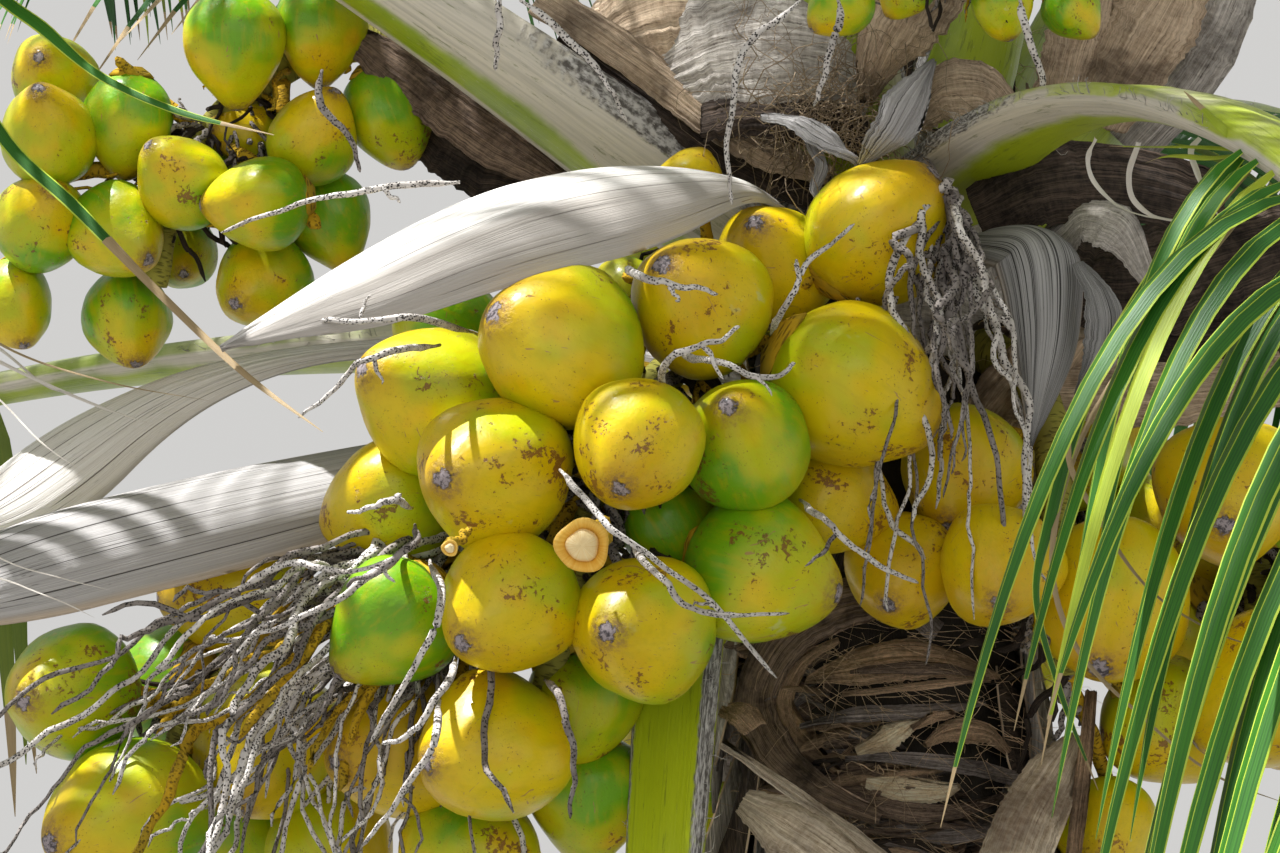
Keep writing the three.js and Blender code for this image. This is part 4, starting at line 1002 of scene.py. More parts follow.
# Each nut's centre and radius, and where it shows, the pixel of the scar at its tip.
bunches = {
    'nut_bunch_front': {
        'stalk': [(-0.09, -0.11, 3.35), (-0.19, -0.245, 3.325), (-0.31, -0.37, 3.18), (-0.39, -0.345, 2.96),
                  (-0.43, -0.29, 2.77)],
        'nuts': [(-0.395, -0.495, 3.23, 0.089, (503, 318)), (-0.24, -0.45, 3.295, 0.078, (666, 270)),
                 (-0.15, -0.33, 3.375, 0.072, (757, 228)), (-0.03, -0.38, 3.4, 0.08, (925, 180)),
                 (-0.06, -0.41, 3.205, 0.092, (925, 430)), (-0.19, -0.475, 3.13, 0.072, (730, 410)),
                 (-0.31, -0.555, 3.105, 0.071, (622, 483)), (-0.475, -0.49, 3.09, 0.084, (450, 478)),
                 (-0.55, -0.37, 3.205, 0.083, (372, 372)), (-0.6, -0.27, 3.095, 0.075),
                 (-0.455, -0.475, 2.94, 0.077, (468, 638)), (-0.305, -0.47, 2.915, 0.08, (612, 632)),
                 (-0.165, -0.405, 2.99, 0.082, (828, 590)), (-0.08, -0.305, 3.095, 0.068),
                 (-0.59, -0.375, 2.935, 0.071), (-0.47, -0.375, 2.79, 0.083, (437, 762)),
                 (-0.585, -0.235, 2.815, 0.086, (345, 760)), (-0.375, -0.28, 2.855, 0.064),
                 (-0.27, -0.355, 3.05, 0.057), (-0.535, -0.25, 3.31, 0.065), (-0.505, -0.215, 2.68, 0.079),
                 (-0.365, -0.21, 2.755, 0.07), (-0.245, -0.285, 3.48, 0.043)],
        'tones': [0.35, 0.2, 0.2, 0.1, 0.15, 0.95, 0.15, 0.15, 0.45, 0.3, 0.25, 0.55, 0.9, 0.1, 1.1, 0.2,
                  -0.2, 0.6, 1.0, 0.7, 0.3, 0.6, 0.2]},
    'nut_bunch_left_high': {
        'long': 1.2,
        'stalk': [(-0.12, 0.035, 3.5), (-0.42, 0.02, 3.72), (-0.72, -0.03, 3.72), (-0.88, -0.04, 3.56),
                  (-0.91, -0.03, 3.42)],
        'nuts': [(-0.805, -0.135, 3.695, 0.06, (237, 110)), (-0.705, -0.1, 3.725, 0.055, (320, 95)),
                 (-0.62, -0.06, 3.63, 0.055, (405, 160)), (-0.71, -0.095, 3.595, 0.053, (331, 100)),
                 (-0.805, -0.01, 3.62, 0.05, (215, 130)), (-0.945, -0.06, 3.62, 0.055, (125, 170)),
                 (-1.04, -0.095, 3.6, 0.058, (40, 97)), (-1.05, 0.0, 3.7, 0.054, (42, 62)),
                 (-0.87, -0.1, 3.535, 0.054, (155, 153)), (-0.775, -0.13, 3.5, 0.055, (211, 205)),
                 (-0.695, 0.005, 3.51, 0.053, (345, 260)), (-1.05, -0.055, 3.495, 0.057, (50, 195)),
                 (-0.95, -0.07, 3.475, 0.057, (143, 255)), (-0.89, 0.075, 3.485, 0.045, (183, 270)),
                 (-0.78, -0.015, 3.425, 0.058, (240, 300)), (-0.95, 0.03, 3.39, 0.054, (135, 355)),
                 (-1.09, 0.01, 3.405, 0.05, (22, 337))],
        'tones': [0.7, 0.65, 0.9, 0.5, 0.7, 0.85, 0.55, 0.65, 0.6, 0.6, 0.95, 0.65, 0.75, 1.0, 0.75, 0.85,
                  0.75]},
    'nut_bunch_right_low': {
        'stalk': [(0.095, -0.1, 3.33), (0.17, -0.18, 3.26), (0.19, -0.23, 3.08), (0.2, -0.22, 2.9)],
        'nuts': [(0.0, -0.27, 3.015, 0.065, (890, 600)), (0.11, -0.34, 3.005, 0.069, (1000, 600)),
                 (0.245, -0.25, 2.98, 0.093, (1100, 660)), (0.075, -0.25, 3.135, 0.073, (950, 520)),
                 (0.25, -0.13, 2.725, 0.06, (1105, 860)), (0.33, -0.12, 2.86, 0.074)],
        'tones': [-0.1, -0.1, 0.1, 0.0, 0.3, 0.2]},
    'nut_bunch_right': {
        'stalk': [(0.12, 0.02, 3.45), (0.3, 0.03, 3.42), (0.43, 0.0, 3.24), (0.46, 0.0, 3.0),
                  (0.45, 0.01, 2.86)],
        'nuts': [(0.39, -0.235, 3.115, 0.085, (1225, 520)), (0.435, -0.205, 2.88, 0.09, (1200, 740)),
                 (0.56, -0.08, 3.03, 0.084), (0.35, 0.095, 2.99, 0.08), (0.5, 0.13, 2.92, 0.082),
                 (0.44, 0.15, 3.11, 0.08), (0.56, -0.04, 2.83, 0.08), (0.59, 0.09, 3.19, 0.078)],
        'tones': [0.1, 0.1, 0.2, 0.3, 0.4, 0.2, 0.4, 0.3]},
    'nut_bunch_left_low': {
        'stalk': [(-0.13, 0.0, 3.13), (-0.48, -0.06, 3.09), (-0.74, -0.06, 2.99), (-0.86, -0.05, 2.85),
                  (-0.85, -0.02, 2.74)],
        'nuts': [(-0.99, -0.12, 2.895, 0.079, (30, 700)), (-0.803, -0.03, 3.034, 0.081, (160, 600)),
                 (-0.915, -0.15, 2.735, 0.096, (60, 840)), (-0.755, -0.085, 2.835, 0.089, (240, 800)),
                 (-0.675, -0.02, 2.715, 0.075), (-0.88, 0.06, 2.92, 0.08), (-0.81, 0.09, 2.76, 0.08)],
        'tones': [0.9, 0.0, 0.75, 0.35, 0.4, 0.8, 0.6]},
    'young_nut_bunch_front': {
        'stalk': [(-0.035, -0.125, 3.64), (-0.02, -0.33, 3.86), (0.04, -0.48, 3.83), (0.06, -0.54, 3.7)],
        'nuts': [(-0.08, -0.55, 3.615, 0.036), (0.105, -0.53, 3.62, 0.034), (0.19, -0.5, 3.625, 0.033),
                 (0.0, -0.5, 3.65, 0.032), (0.06, -0.59, 3.65, 0.034), (0.13, -0.6, 3.69, 0.03)],
        'tones': [0.8, 0.85, 0.8, 0.7, 0.75, 0.8]},
    'nut_bunch_back_right': {
        'heap': {'centre': (0.255, 0.44, 3.19), 'count': 10, 'across': 0.14, 'tall': 0.175, 'radius': 0.078},
        'stalk': [(0.06, 0.11, 3.4), (0.18, 0.3, 3.48), (0.25, 0.42, 3.36), (0.26, 0.43, 3.15)]},
    'nut_bunch_back': {
        'heap': {'centre': (-0.14, 0.41, 2.87), 'count': 9, 'across': 0.135, 'tall': 0.165, 'radius': 0.08},
        'stalk': [(-0.03, 0.125, 3.23), (-0.09, 0.3, 3.18), (-0.135, 0.4, 3.02), (-0.14, 0.4, 2.85)]},
    'nut_bunch_back_left': {
        'heap': {'centre': (-0.225, 0.43, 3.5), 'count': 9, 'across': 0.105, 'tall': 0.125, 'radius': 0.06},
        'stalk': [(-0.06, 0.105, 3.52), (-0.16, 0.28, 3.68), (-0.22, 0.4, 3.62), (-0.225, 0.42, 3.48)]},
}
stalk = {'radius': [(0, 0.028), (0.5, 0.022), (1, 0.016)], 'knots': 0.05, 'youngShare': 0.6,
         'rings': 40, 'around': 14}
calyxCap = {'around': 15, 'lobes': 0.16,
            'rows': [(0.05, -0.10), (0.22, -0.11), (0.40, 0.01), (0.50, 0.12), (0.47, 0.14), (0.20, 0.02)]}


def heaped(centre, count, across, tall, radius):
    found = []
    for i in range(count):
        height = 1 - 2 * (i + 0.5) / count
        ring = across * math.sqrt(1 - height ** 2)
        turn = math.radians(goldenTurn * i)
        x, y, z = centre
        found.append((x + ring * math.cos(turn), y + ring * math.sin(turn), z + tall * height, radius))
    return found


def towardPixel(centre, radius, pixel):
    # Where the sight line through a pixel first meets the nut, or passes nearest to it.
    eye = np.array(view['place'])
    line = unit(seen(*pixel, 1.0) - eye)
    away = centre - eye
    nearest = eye + line * (away @ line)
    offset = nearest - centre
    gap = np.linalg.norm(offset)
    front = math.sqrt(max(0, radius ** 2 - gap ** 2))
    return unit(offset - line * front)


def sidesOf(tip):
    side = unit(np.cross(tip, np.array([0.3, 0.5, 0.8])))
    return side, np.cross(tip, side)


def nutCorners(centre, radius, tip, around, along, turn, long):
    # An egg with three blunt ridges, slimmer towards the tip, each one a little uneven.
    chance = rng.random(5)
    polar = np.pi * np.linspace(0.004, 0.996, along)
    u = 2 * np.pi * np.arange(around) / around
    taper, ridged = (between(nut[key], share) for key, share in zip(('taper', 'ridge'), chance))
    plump = np.sin(polar) ** 0.92 * (1 + taper * np.cos(polar) - 0.06 * np.cos(2 * polar) - 0.03)
    bulge = np.cos(3 * u) + 0.25 * np.cos(6 * u) + 1.2 * (chance[2] - 0.5) * np.cos(u + 6 * chance[3])
    ridge = 1 + ridged * bulge[None] * (np.sin(polar) ** 1.5)[:, None]
    high = -np.cos(polar) * long + 0.012 * np.exp(-(polar / 0.35) ** 2) * (0.5 + chance[4])
    high = high + nut['point'] * np.exp(-((np.pi - polar) / 0.5) ** 2)
    local = spots(plump[:, None] * ridge * np.cos(u), plump[:, None] * ridge * np.sin(u), high[:, None])
    local = local * (1 + nut['lumps'] * roughness(local + turn * 7, 1.3, 2)[..., None])
    side, other = sidesOf(tip)
    first = side * math.cos(turn) + other * math.sin(turn)
    second = np.cross(tip, first)
    placed = centre + radius * (local[..., :1] * first + local[..., 1:2] * second + local[..., 2:] * tip)
    return placed, local


def nearestOn(route, point):
    # where on a bunch's stalk a nut's twig starts
    shares = 0.3 + 0.0125 * np.arange(57)
    places = smoothRoute(route, shares) + crownPlace
    return places[np.argmin(np.linalg.norm(places - point - [0, 0, 0.06], axis=1))]


def gnarled(starts, middles, ends, radii, taper, rings=26, size=0.012, sides=6, knots=0.35):
    # Crooked twigs from starts to ends by way of middles, knobbly and tapering.
    s = np.linspace(0, 1, rings)[None, :, None]
    places = (1 - s) ** 2 * starts[:, None] + 2 * s * (1 - s) * middles[:, None] + s ** 2 * ends[:, None]
    count = len(starts)
    places = places + wander(count, rings, size, 5) + wander(count, rings, size * 0.45, 2) * s ** 0.5
    lumps = 1 + knots * np.abs(wander(count, rings, 1.6, 2)[..., 0])
    radius = np.asarray(radii)[:, None] * (1 - taper * s[..., 0]) * np.clip(lumps, 1, 1.5)
    radius[:, -1] *= 0.3
    return tubes(places, radius, sides)


for name, bunch in bunches.items():
    shown = 'heap' not in bunch
    nuts = bunch['nuts'] if shown else heaped(**bunch['heap'])
    long = bunch.get('long', nut['long'])
    tones = bunch.get('tones', [0.25 + 0.4 * (i * 0.37 % 1) for i in range(len(nuts))])
    around, rings = (nut[key] for key in (('around', 'along') if shown else ('backAround', 'backAlong')))
    middle = np.mean([entry[:3] for entry in nuts], 0) + crownPlace
    shells, places, starts, ends, radii, caps = [], [], [], [], [], []
    for i, (x, y, z, radius, *scar) in enumerate(nuts):
        centre = crownPlace + [x, y, z]
        starts.append(nearestOn(bunch['stalk'], centre))
        tip = towardPixel(centre, radius, scar[0]) if scar else unit(centre - middle + [0, 0, -0.10])
        body, local = nutCorners(centre, radius, tip, around, rings, i * 1.7, long)
        shells.append(body)
        places.append(local)
        ends.append(centre - tip * radius * long * 0.97)
        radii.append(nut['twig'][int(radius <= nut['grownFrom'])])
        # the calyx caps the stalk end
        foot = centre - tip * radius * long
        side, other = sidesOf(tip)
        turn = 2 * np.pi * np.arange(calyxCap['around']) / calyxCap['around']
        lobes = 1 + calyxCap['lobes'] * np.cos(3 * turn)
        caps.append([[foot + radius * (out * lobe * (side * math.cos(a) + other * math.sin(a)) + tip * deep)
                      for a, lobe in zip(turn, lobes)] for out, deep in calyxCap['rows']])
    chance = rng.random((len(nuts), 3)) * 40
    values = {'husk': np.stack(places).reshape(-1, 3),
              'chance': np.repeat(chance, around * rings, 0),
              'tone': np.repeat(np.array(tones, float), around * rings)}
    show(strips(name + '_nuts', np.stack(shells), 'nut', values=values), 'nut_skin', name)
    show(strips(name + '_calyxes', np.array(caps), 'twigFresh'), 'dry_stalk', name)
    starts, ends = np.array(starts), np.array(ends)
    middles = (starts + ends) / 2 + (middle - (starts + ends) / 2) * 0.2 + [0, 0, 0.02]
    show(strips(name + '_twigs', gnarled(starts, middles, ends, radii, 0.2), 'twigFresh'), 'dry_stalk', name)
    shares = np.linspace(0, 1, stalk['rings'])
    stem = smoothRoute(bunch['stalk'], shares) + crownPlace
    thick = linear(stalk['radius'], shares) * (1 + stalk['knots'] * np.sin(shares * 60))
    if name.startswith('young'):
        thick = thick * stalk['youngShare']
    show(strips(name + '_stalk', tubes(stem[None], thick[None], stalk['around']), 'stalk'), 'dry_stalk', name)
print('nut bunches done')


# Bare flower twigs
def fan(route, low, high, count, aim, spreadOut, drop, radius, bow, size, rings=30):
    # Twigs that leave a stem between two shares of its route and fall towards aim, spread about it.
    shares = np.linspace(low, high, count)
    starts = smoothRoute(route, shares) + crownPlace
    chance = rng.normal(size=(count, 3))
    ends = starts + np.array(aim) * (0.75 + 0.3 * rng.random((count, 1))) + chance * spreadOut
    ends[:, 2] -= drop * rng.random(count)
    middles = starts * 0.55 + ends * 0.45 + np.array(bow) + chance[:, ::-1] * np.array(spreadOut) * 0.35
    radii = radius * (0.75 + 0.5 * rng.random(count))
    return gnarled(starts, middles, ends, radii, 0.55, rings, size)


oldStalks = {
    'old_flower_stalk_right': {
        'stem': [(0, -0.125, 3.44), (0.025, -0.3, 3.5), (0.05, -0.4, 3.43)],
        'fans': [dict(low=0.86, high=1.0, count=20, aim=(0.005, -0.02, -0.30), spreadOut=(0.052, 0.030, 0.06),
                      drop=0.22, radius=0.0038, bow=(0.005, -0.03, 0.02), size=0.036, rings=40),
                 dict(low=0.90, high=1.0, count=12, aim=(-0.01, -0.03, -0.17), spreadOut=(0.03, 0.025, 0.04),
                      drop=0.08, radius=0.0054, bow=(0.000, -0.04, 0.01), size=0.040, rings=40)],
        'dark': 0.45, 'stemShare': 0.45,
    },
    'old_flower_stalk_left': {
        'stem': [(-0.125, -0.045, 3.18), (-0.42, -0.19, 3.09), (-0.56, -0.265, 3.03)],
        'fans': [dict(low=0.45, high=1.0, count=40, aim=(-0.29, -0.08, -0.25), spreadOut=(0.13, 0.08, 0.09),
                      drop=0.16, radius=0.0042, bow=(-0.05, -0.03, 0.05), size=0.055, rings=40),
                 dict(low=0.60, high=1.0, count=24, aim=(-0.10, -0.10, -0.32), spreadOut=(0.09, 0.05, 0.07),
                      drop=0.14, radius=0.0040, bow=(-0.02, -0.05, 0.05), size=0.050, rings=40),
                 dict(low=0.75, high=1.0, count=16, aim=(-0.46, -0.08, -0.26), spreadOut=(0.09, 0.06, 0.10),
                      drop=0.12, radius=0.0038, bow=(-0.05, -0.03, 0.04), size=0.060, rings=40)],
        'dark': 0.52, 'stemShare': 1,
    },
}
# The low left bunch still has live, orange branches among the dead ones.
liveBranches = dict(low=0.5, high=1.0, count=26, aim=(-0.20, -0.06, -0.22), spreadOut=(0.12, 0.06, 0.08),
                    drop=0.08, radius=0.0085, bow=(-0.03, -0.03, 0.04), size=0.035)
for name, spec in oldStalks.items():
    shares = np.linspace(0, 1, 30)
    stem = smoothRoute(spec['stem'], shares) + crownPlace
    thick = linear(stalk['radius'], shares) * spec['stemShare']
    show(strips(name + '_stem', tubes(stem[None], thick[None], 12), 'twigDark'), 'dry_stalk', name)
    for i, each in enumerate(spec['fans']):
        corners = fan(spec['stem'], **each)
        dark = (rng.random((len(corners), 1)) < spec['dark']).astype(int)
        show(strips(f'{name}_twigs_{i + 1}', corners, 'twig twigDark', dealt=dark), 'dry_stalk', name)
live = fan(oldStalks['old_flower_stalk_left']['stem'], **liveBranches)
show(strips('live_branches_left', live, 'twigFresh'), 'dry_stalk')

# Single twigs over the nuts, drawn by the view's pixels and their distance from the camera.
overTwigs = [
    [(560, 470, 4.26), (600, 520, 4.24), (700, 590, 4.27), (765, 670, 4.33)],
    [(630, 540, 4.3), (660, 580, 4.28), (700, 612, 4.28), (780, 610, 4.34)],
    [(626, 268, 4.4), (645, 284, 4.35), (680, 292, 4.35), (715, 300, 4.36)],
    [(665, 395, 4.4), (672, 360, 4.37), (700, 335, 4.37), (735, 318, 4.39)],
    [(675, 350, 4.38), (720, 350, 4.38), (760, 358, 4.39), (790, 345, 4.43)],
    [(770, 335, 4.44), (790, 295, 4.44), (815, 250, 4.46), (858, 220, 4.42)],
    [(800, 500, 4.42), (840, 525, 4.4), (880, 560, 4.42), (925, 588, 4.46)],
    [(460, 182, 4.6), (380, 190, 4.6), (300, 205, 4.62), (220, 240, 4.66)],
    [(480, 335, 4.45), (400, 322, 4.45), (340, 328, 4.5), (280, 338, 4.55)],
    [(440, 345, 4.4), (380, 352, 4.42), (345, 385, 4.46), (310, 415, 4.5)],
    [(410, 545, 4.44), (350, 590, 4.42), (300, 620, 4.46), (240, 640, 4.5)],
    [(412, 508, 4.36), (385, 505, 4.34), (355, 520, 4.36), (338, 525, 4.38)],
    [(415, 525, 4.36), (400, 545, 4.34), (370, 560, 4.34), (345, 575, 4.38)],
    [(455, 660, 4.35), (445, 690, 4.31), (415, 730, 4.32), (390, 735, 4.36)],
    [(440, 700, 4.32), (425, 740, 4.3), (400, 790, 4.33), (370, 840, 4.38)],
    [(545, 680, 4.4), (560, 720, 4.36), (570, 770, 4.38), (572, 822, 4.42)],
    [(430, 560, 4.4), (435, 610, 4.36), (400, 680, 4.36), (360, 730, 4.42)],
    [(500, 0, 4.5), (503, 25, 4.5), (508, 50, 4.5), (515, 70, 4.5)],
    [(520, 0, 4.52), (560, 45, 4.5), (590, 90, 4.5), (618, 138, 4.52)],
    [(800, 0, 4.55), (745, 55, 4.52), (735, 120, 4.5), (745, 195, 4.5)],
    [(838, 0, 4.52), (835, 40, 4.5), (832, 80, 4.5), (828, 112, 4.52)],
    [(1020, 0, 4.5), (1025, 40, 4.48), (1035, 85, 4.5), (1025, 100, 4.52)],
    [(322, 70, 4.6), (325, 110, 4.58), (345, 140, 4.6), (352, 160, 4.62)],
    [(240, 590, 4.6), (290, 560, 4.56), (350, 570, 4.52), (420, 545, 4.46)],
]
overTwig = {
    'rings': 34, 'around': 7, 'radius': 0.0043, 'drift': (0.010, 0.003), 'knots': 0.3, 'dark': 0.25,
    'inner': 0.20, 'innerBefore': 4.5,  # the first stop of a near twig lies this much deeper, behind the nuts
    'forkRadius': 0.0026, 'forkReach': (0.02, 0.05), 'forkDark': 0.2,
}
rings = overTwig['rings']
shares = np.linspace(0, 1, rings)
lines = []
for route in overTwigs:
    right, down, far = route[0]
    stops = [(right, down, far + overTwig['inner'])] + route[1:] if far < overTwig['innerBefore'] else route
    lines.append(smoothRoute([seen(*stop) for stop in stops], shares))
coarse, fine = overTwig['drift']
lines = np.array(lines) + wander(len(lines), rings, coarse, 5) + wander(len(lines), rings, fine, 2)
lumps = 1 + overTwig['knots'] * np.abs(wander(len(lines), rings, 1.6, 2)[..., 0])
slimming = (1 - 0.6 * shares)[None]
radius = overTwig['radius'] * slimming * np.clip(lumps, 1, 1.3) * np.clip(shares / 0.10, 0.45, 1)
radius[:, -1] *= 0.3
dark = (rng.random((len(lines), 1)) < overTwig['dark']).astype(int)
show(strips('bare_twigs_over_nuts', tubes(lines, radius, overTwig['around']), 'twig twigDark', dealt=dark),
     'dry_stalk')
forks = len(lines) // 2
leaving = lines[np.arange(forks), rng.integers(6, 24, forks)]
reach = unit(rng.normal(size=(forks, 3)) * [1, 0.3, 0.8] + [0, -0.1, -0.4]) \
    * rng.uniform(*overTwig['forkReach'], (forks, 1))
branchlets = gnarled(leaving, leaving + reach * 0.5 + [0, 0, 0.006], leaving + reach,
                     np.full(forks, overTwig['forkRadius']), 0.6, 16, 0.008)
dark = (rng.random((forks, 1)) < overTwig['forkDark']).astype(int)
show(strips('twig_branchlets', branchlets, 'twig twigDark', dealt=dark), 'dry_stalk')

# Dead twigs fill the middle of each bunch, so it stays dark between the nuts; those in the dark fibre finish
# paint that shade.
innerTwigs = {
    'forEachNut': 9, 'inward': (0.35, 0.95), 'spread': 0.28, 'radius': (0.003, 0.0065), 'fullSize': 0.075,
    'rings': 18, 'drift': 0.03, 'around': 5,
    'finishes': 'twigDark fibreDark twigFresh', 'shares': (0.5, 0.38, 0.12),
}
for name, bunch in bunches.items():
    nuts = np.array([entry[:4] for entry in (bunch['nuts'] if 'nuts' in bunch else heaped(**bunch['heap']))])
    nuts, size = nuts[:, :3], nuts[:, 3]
    middle = nuts.mean(0)
    count = innerTwigs['forEachNut'] * len(nuts)
    goal = nuts[np.arange(count) % len(nuts)]
    ends = goal + (middle - goal) * rng.uniform(*innerTwigs['inward'], (count, 1)) \
        + rng.normal(size=(count, 3)) * size.mean() * innerTwigs['spread'] + [0, 0.02, 0]
    starts = np.array([nearestOn(bunch['stalk'], crownPlace + end) for end in ends])
    ends = ends + crownPlace
    radii = rng.uniform(*innerTwigs['radius'], count) * min(1, size.mean() / innerTwigs['fullSize'])
    inner = gnarled(starts, (starts + ends) / 2 + [0, 0, 0.02], ends, radii, 0.4, innerTwigs['rings'],
                    innerTwigs['drift'], innerTwigs['around'])
    dealt = rng.choice(3, (count, 1), p=innerTwigs['shares'])
    show(strips(name + '_inner_twigs', inner, innerTwigs['finishes'], dealt=dealt,
                values={'rim': np.zeros(inner.shape[:3])}), 'dry_stalk')
print('bare twigs done')

# Loose leaflets and dry strips, drawn as the single twigs are: route, width, dry share of the length
# and which finish the rest has.
looseBlades = {
    'hanging_leaflets': [
        ([(36, -249, 4.8), (-30, -130, 4.78), (-12, -20, 4.76), (45, 30, 4.72), (99, 75, 4.69),
          (180, 112, 4.66), (274, 135, 4.63)], 0.018, 0.08, 'leaflet'),
        ([(-41, -288, 4.77), (-90, -80, 4.74), (0, 133, 4.66), (75, 207, 4.62), (166, 300, 4.56),
          (246, 375, 4.5), (323, 432, 4.44)], 0.017, 0.42, 'leaflet'),
        ([(1240, 158, 4.1), (1160, 265, 4.05), (1085, 400, 4.02), (1050, 520, 4.02), (1036, 592, 4.04),
          (1058, 685, 4.08), (1098, 790, 4.12)], 0.015, 0.04, 'leaflet'),
        ([(1250, 150, 4.08), (1224, 130, 4.06), (1205, 111, 4.08),
          (1184, 91, 4.1)], 0.012, 0.3, 'leafletYellow'),
        ([(1240, 150, 4.14), (1195, 147, 4.2), (1150, 147, 4.26),
          (1109, 146, 4.32)], 0.007, 0.1, 'leafletYellow'),
        ([(1262, 150, 4.1), (1215, 158, 4.16), (1170, 156, 4.22),
          (1145, 163, 4.28)], 0.008, 0.2, 'leafletYellow'),
    ],
    'dry_strips': [
        ([(-120, -326, 4.74), (-170, 0, 4.8), (-100, 260, 4.85), (0, 344, 4.82), (104, 381, 4.78),
          (210, 401, 4.72)], 0.005, 1, 'leafletTip'),
        ([(-130, -330, 4.74), (-180, 40, 4.8), (-90, 290, 4.83), (0, 349, 4.8), (50, 388, 4.76),
          (76, 393, 4.74)], 0.006, 1, 'stripPale'),
        ([(-140, -335, 4.74), (-190, 60, 4.8), (-90, 310, 4.83), (0, 362, 4.78), (93, 404, 4.74),
          (148, 423, 4.7)], 0.007, 1, 'stripPale'),
        ([(-150, -340, 4.74), (-190, 80, 4.8), (-80, 330, 4.83), (0, 400, 4.78), (42, 443, 4.74),
          (86, 474, 4.7)], 0.004, 1, 'stripPale'),
        ([(-160, -345, 4.74), (-200, 200, 4.8), (-90, 480, 4.78), (0, 558, 4.66), (65, 579, 4.62),
          (110, 590, 4.6)], 0.003, 1, 'stripPale'),
        ([(-170, -348, 4.74), (-210, 240, 4.8), (-60, 545, 4.72), (22, 586, 4.64), (67, 604, 4.6),
          (95, 618, 4.58)], 0.003, 1, 'stripPale'),
        ([(1096, 138, 4.5), (1088, 159, 4.53), (1093, 180, 4.55), (1114, 203, 4.54), (1145, 216, 4.5),
          (1192, 221, 4.46)], 0.007, 1, 'stripPale'),
        ([(1139, 142, 4.4), (1129, 175, 4.44), (1133, 199, 4.46), (1149, 214, 4.46), (1170, 220, 4.44),
          (1192, 223, 4.42)], 0.008, 1, 'stripPale'),
        ([(1200, 138, 4.22), (1191, 150, 4.22), (1197, 172, 4.22), (1208, 199, 4.2),
          (1222, 221, 4.18)], 0.007, 1, 'stripPale'),
        ([(1250, 170, 4.12), (1120, 330, 4.0), (1068, 450, 3.98), (1100, 520, 3.98), (1150, 590, 3.98),
          (1215, 632, 3.98), (1285, 655, 4.0)], 0.006, 1, 'leafletTip'),
        ([(1262, 190, 4.1), (1090, 420, 4.03), (1052, 560, 4.02), (1075, 645, 4.02), (1140, 715, 4.02),
          (1215, 775, 4.02), (1290, 805, 4.04)], 0.006, 1, 'leafletTip'),
    ],
}
bladeForm = {'rings': 44, 'across': (-1, -0.8, 0, 0.8, 1), 'fold': 0.4, 'twist': 0.9,
             'faces': (0.1, -0.9, 0.3),
             'outline': [(0, 0.7), (0.25, 1), (0.5, 0.95), (0.62, 0.6), (0.85, 0.45), (1, 0.05)],
             'finishes': 'leaflet leafletEdge leafletYellow leafletTip stripPale'}
for name, blades in looseBlades.items():
    shares = np.linspace(0, 1, bladeForm['rings'])
    corners, dealt = [], []
    for route, width, dry, finish in blades:
        line = smoothRoute([seen(*stop) for stop in route], shares)
        along, across, up = framesAlong(line, np.array(bladeForm['faces']))
        turn = (bladeForm['twist'] * (rng.random() - 0.5) * np.sin(shares * 5 + 6 * rng.random()))[:, None]
        flat = across * np.cos(turn) + up * np.sin(turn)
        over = up * np.cos(turn) - across * np.sin(turn)
        half = width / 2 * linear(bladeForm['outline'], shares)[:, None, None]
        a = np.array(bladeForm['across'])[None, :, None]
        corners.append(line[:, None] + flat[:, None] * a * half
                       + over[:, None] * (1 - np.abs(a)) * half * bladeForm['fold'])
        strip = np.full((bladeForm['rings'] - 1, 4), bladeForm['finishes'].split().index(finish))
        if finish == 'leaflet':
            strip[:, [0, 3]] = 1
        if dry < 1:
            strip[shares[1:] > 1 - dry] = 3
        dealt.append(strip.ravel())
    loose = strips(name, np.array(corners), bladeForm['finishes'], closed=False, dealt=np.array(dealt))
    show(loose, 'frond_leaf')

# A nut was cut here not long ago: its fresh calyx shows a pale core.
calyx = {
    'stubs': [((583, 545, 4.285), (604, 522, 4.42), 0.029), ((450, 548, 4.33), (470, 530, 4.42), 0.009)],
    'rows': [(0.1, -0.75), (0.45, -0.72), (0.85, -0.35), (1, 0.15), (0.98, 0.32), (0.8, 0.28), (0.62, 0.05),
             (0.3, -0.05)],
    'core': [(0.05, -0.2), (0.52, -0.1), (0.60, 0.18), (0.50, 0.42), (0.30, 0.52), (0.05, 0.50)],
    'around': 32,
    'faces': (-0.05, -0.95, -0.25),
    'lobes': (0.055, 0.05),  # of the cup and of the core
    'twig': (0.008, 0.004),
}
cups, cores, twigs = [], [], []
axis = unit(np.array(calyx['faces']))
side = unit(np.cross(axis, [0, 0, 1.0]))
turn = 2 * np.pi * np.arange(calyx['around']) / calyx['around']
ring = side * np.cos(turn)[:, None] + np.cross(axis, side) * np.sin(turn)[:, None]
for spot, root, radius in calyx['stubs']:
    middle, foot = seen(*spot), seen(*root)
    for rows, found, lobe in zip((calyx['rows'], calyx['core']), (cups, cores), calyx['lobes']):
        wavy = (1 + lobe * np.cos(3 * turn) + lobe * 0.5 * np.cos(5 * turn + 1))[:, None]
        found.append([middle + radius * (out * wavy * ring + axis * (deep + 0.12 * out * (wavy - 1) / lobe))
                      for out, deep in rows])
    twigs.append((foot, (foot + middle) / 2, middle - axis * radius * 0.6))
show(strips('fresh_calyx_cups', np.array(cups), 'cup'), 'dry_stalk')
show(strips('fresh_calyx_cores', np.array(cores), 'cupCore'), 'dry_stalk')
starts, middles, ends = (np.array(stops) for stops in zip(*twigs))
corners = gnarled(starts, middles, ends, calyx['twig'], 0.1)
show(strips('fresh_calyx_twigs', corners, 'twigFresh'), 'dry_stalk')
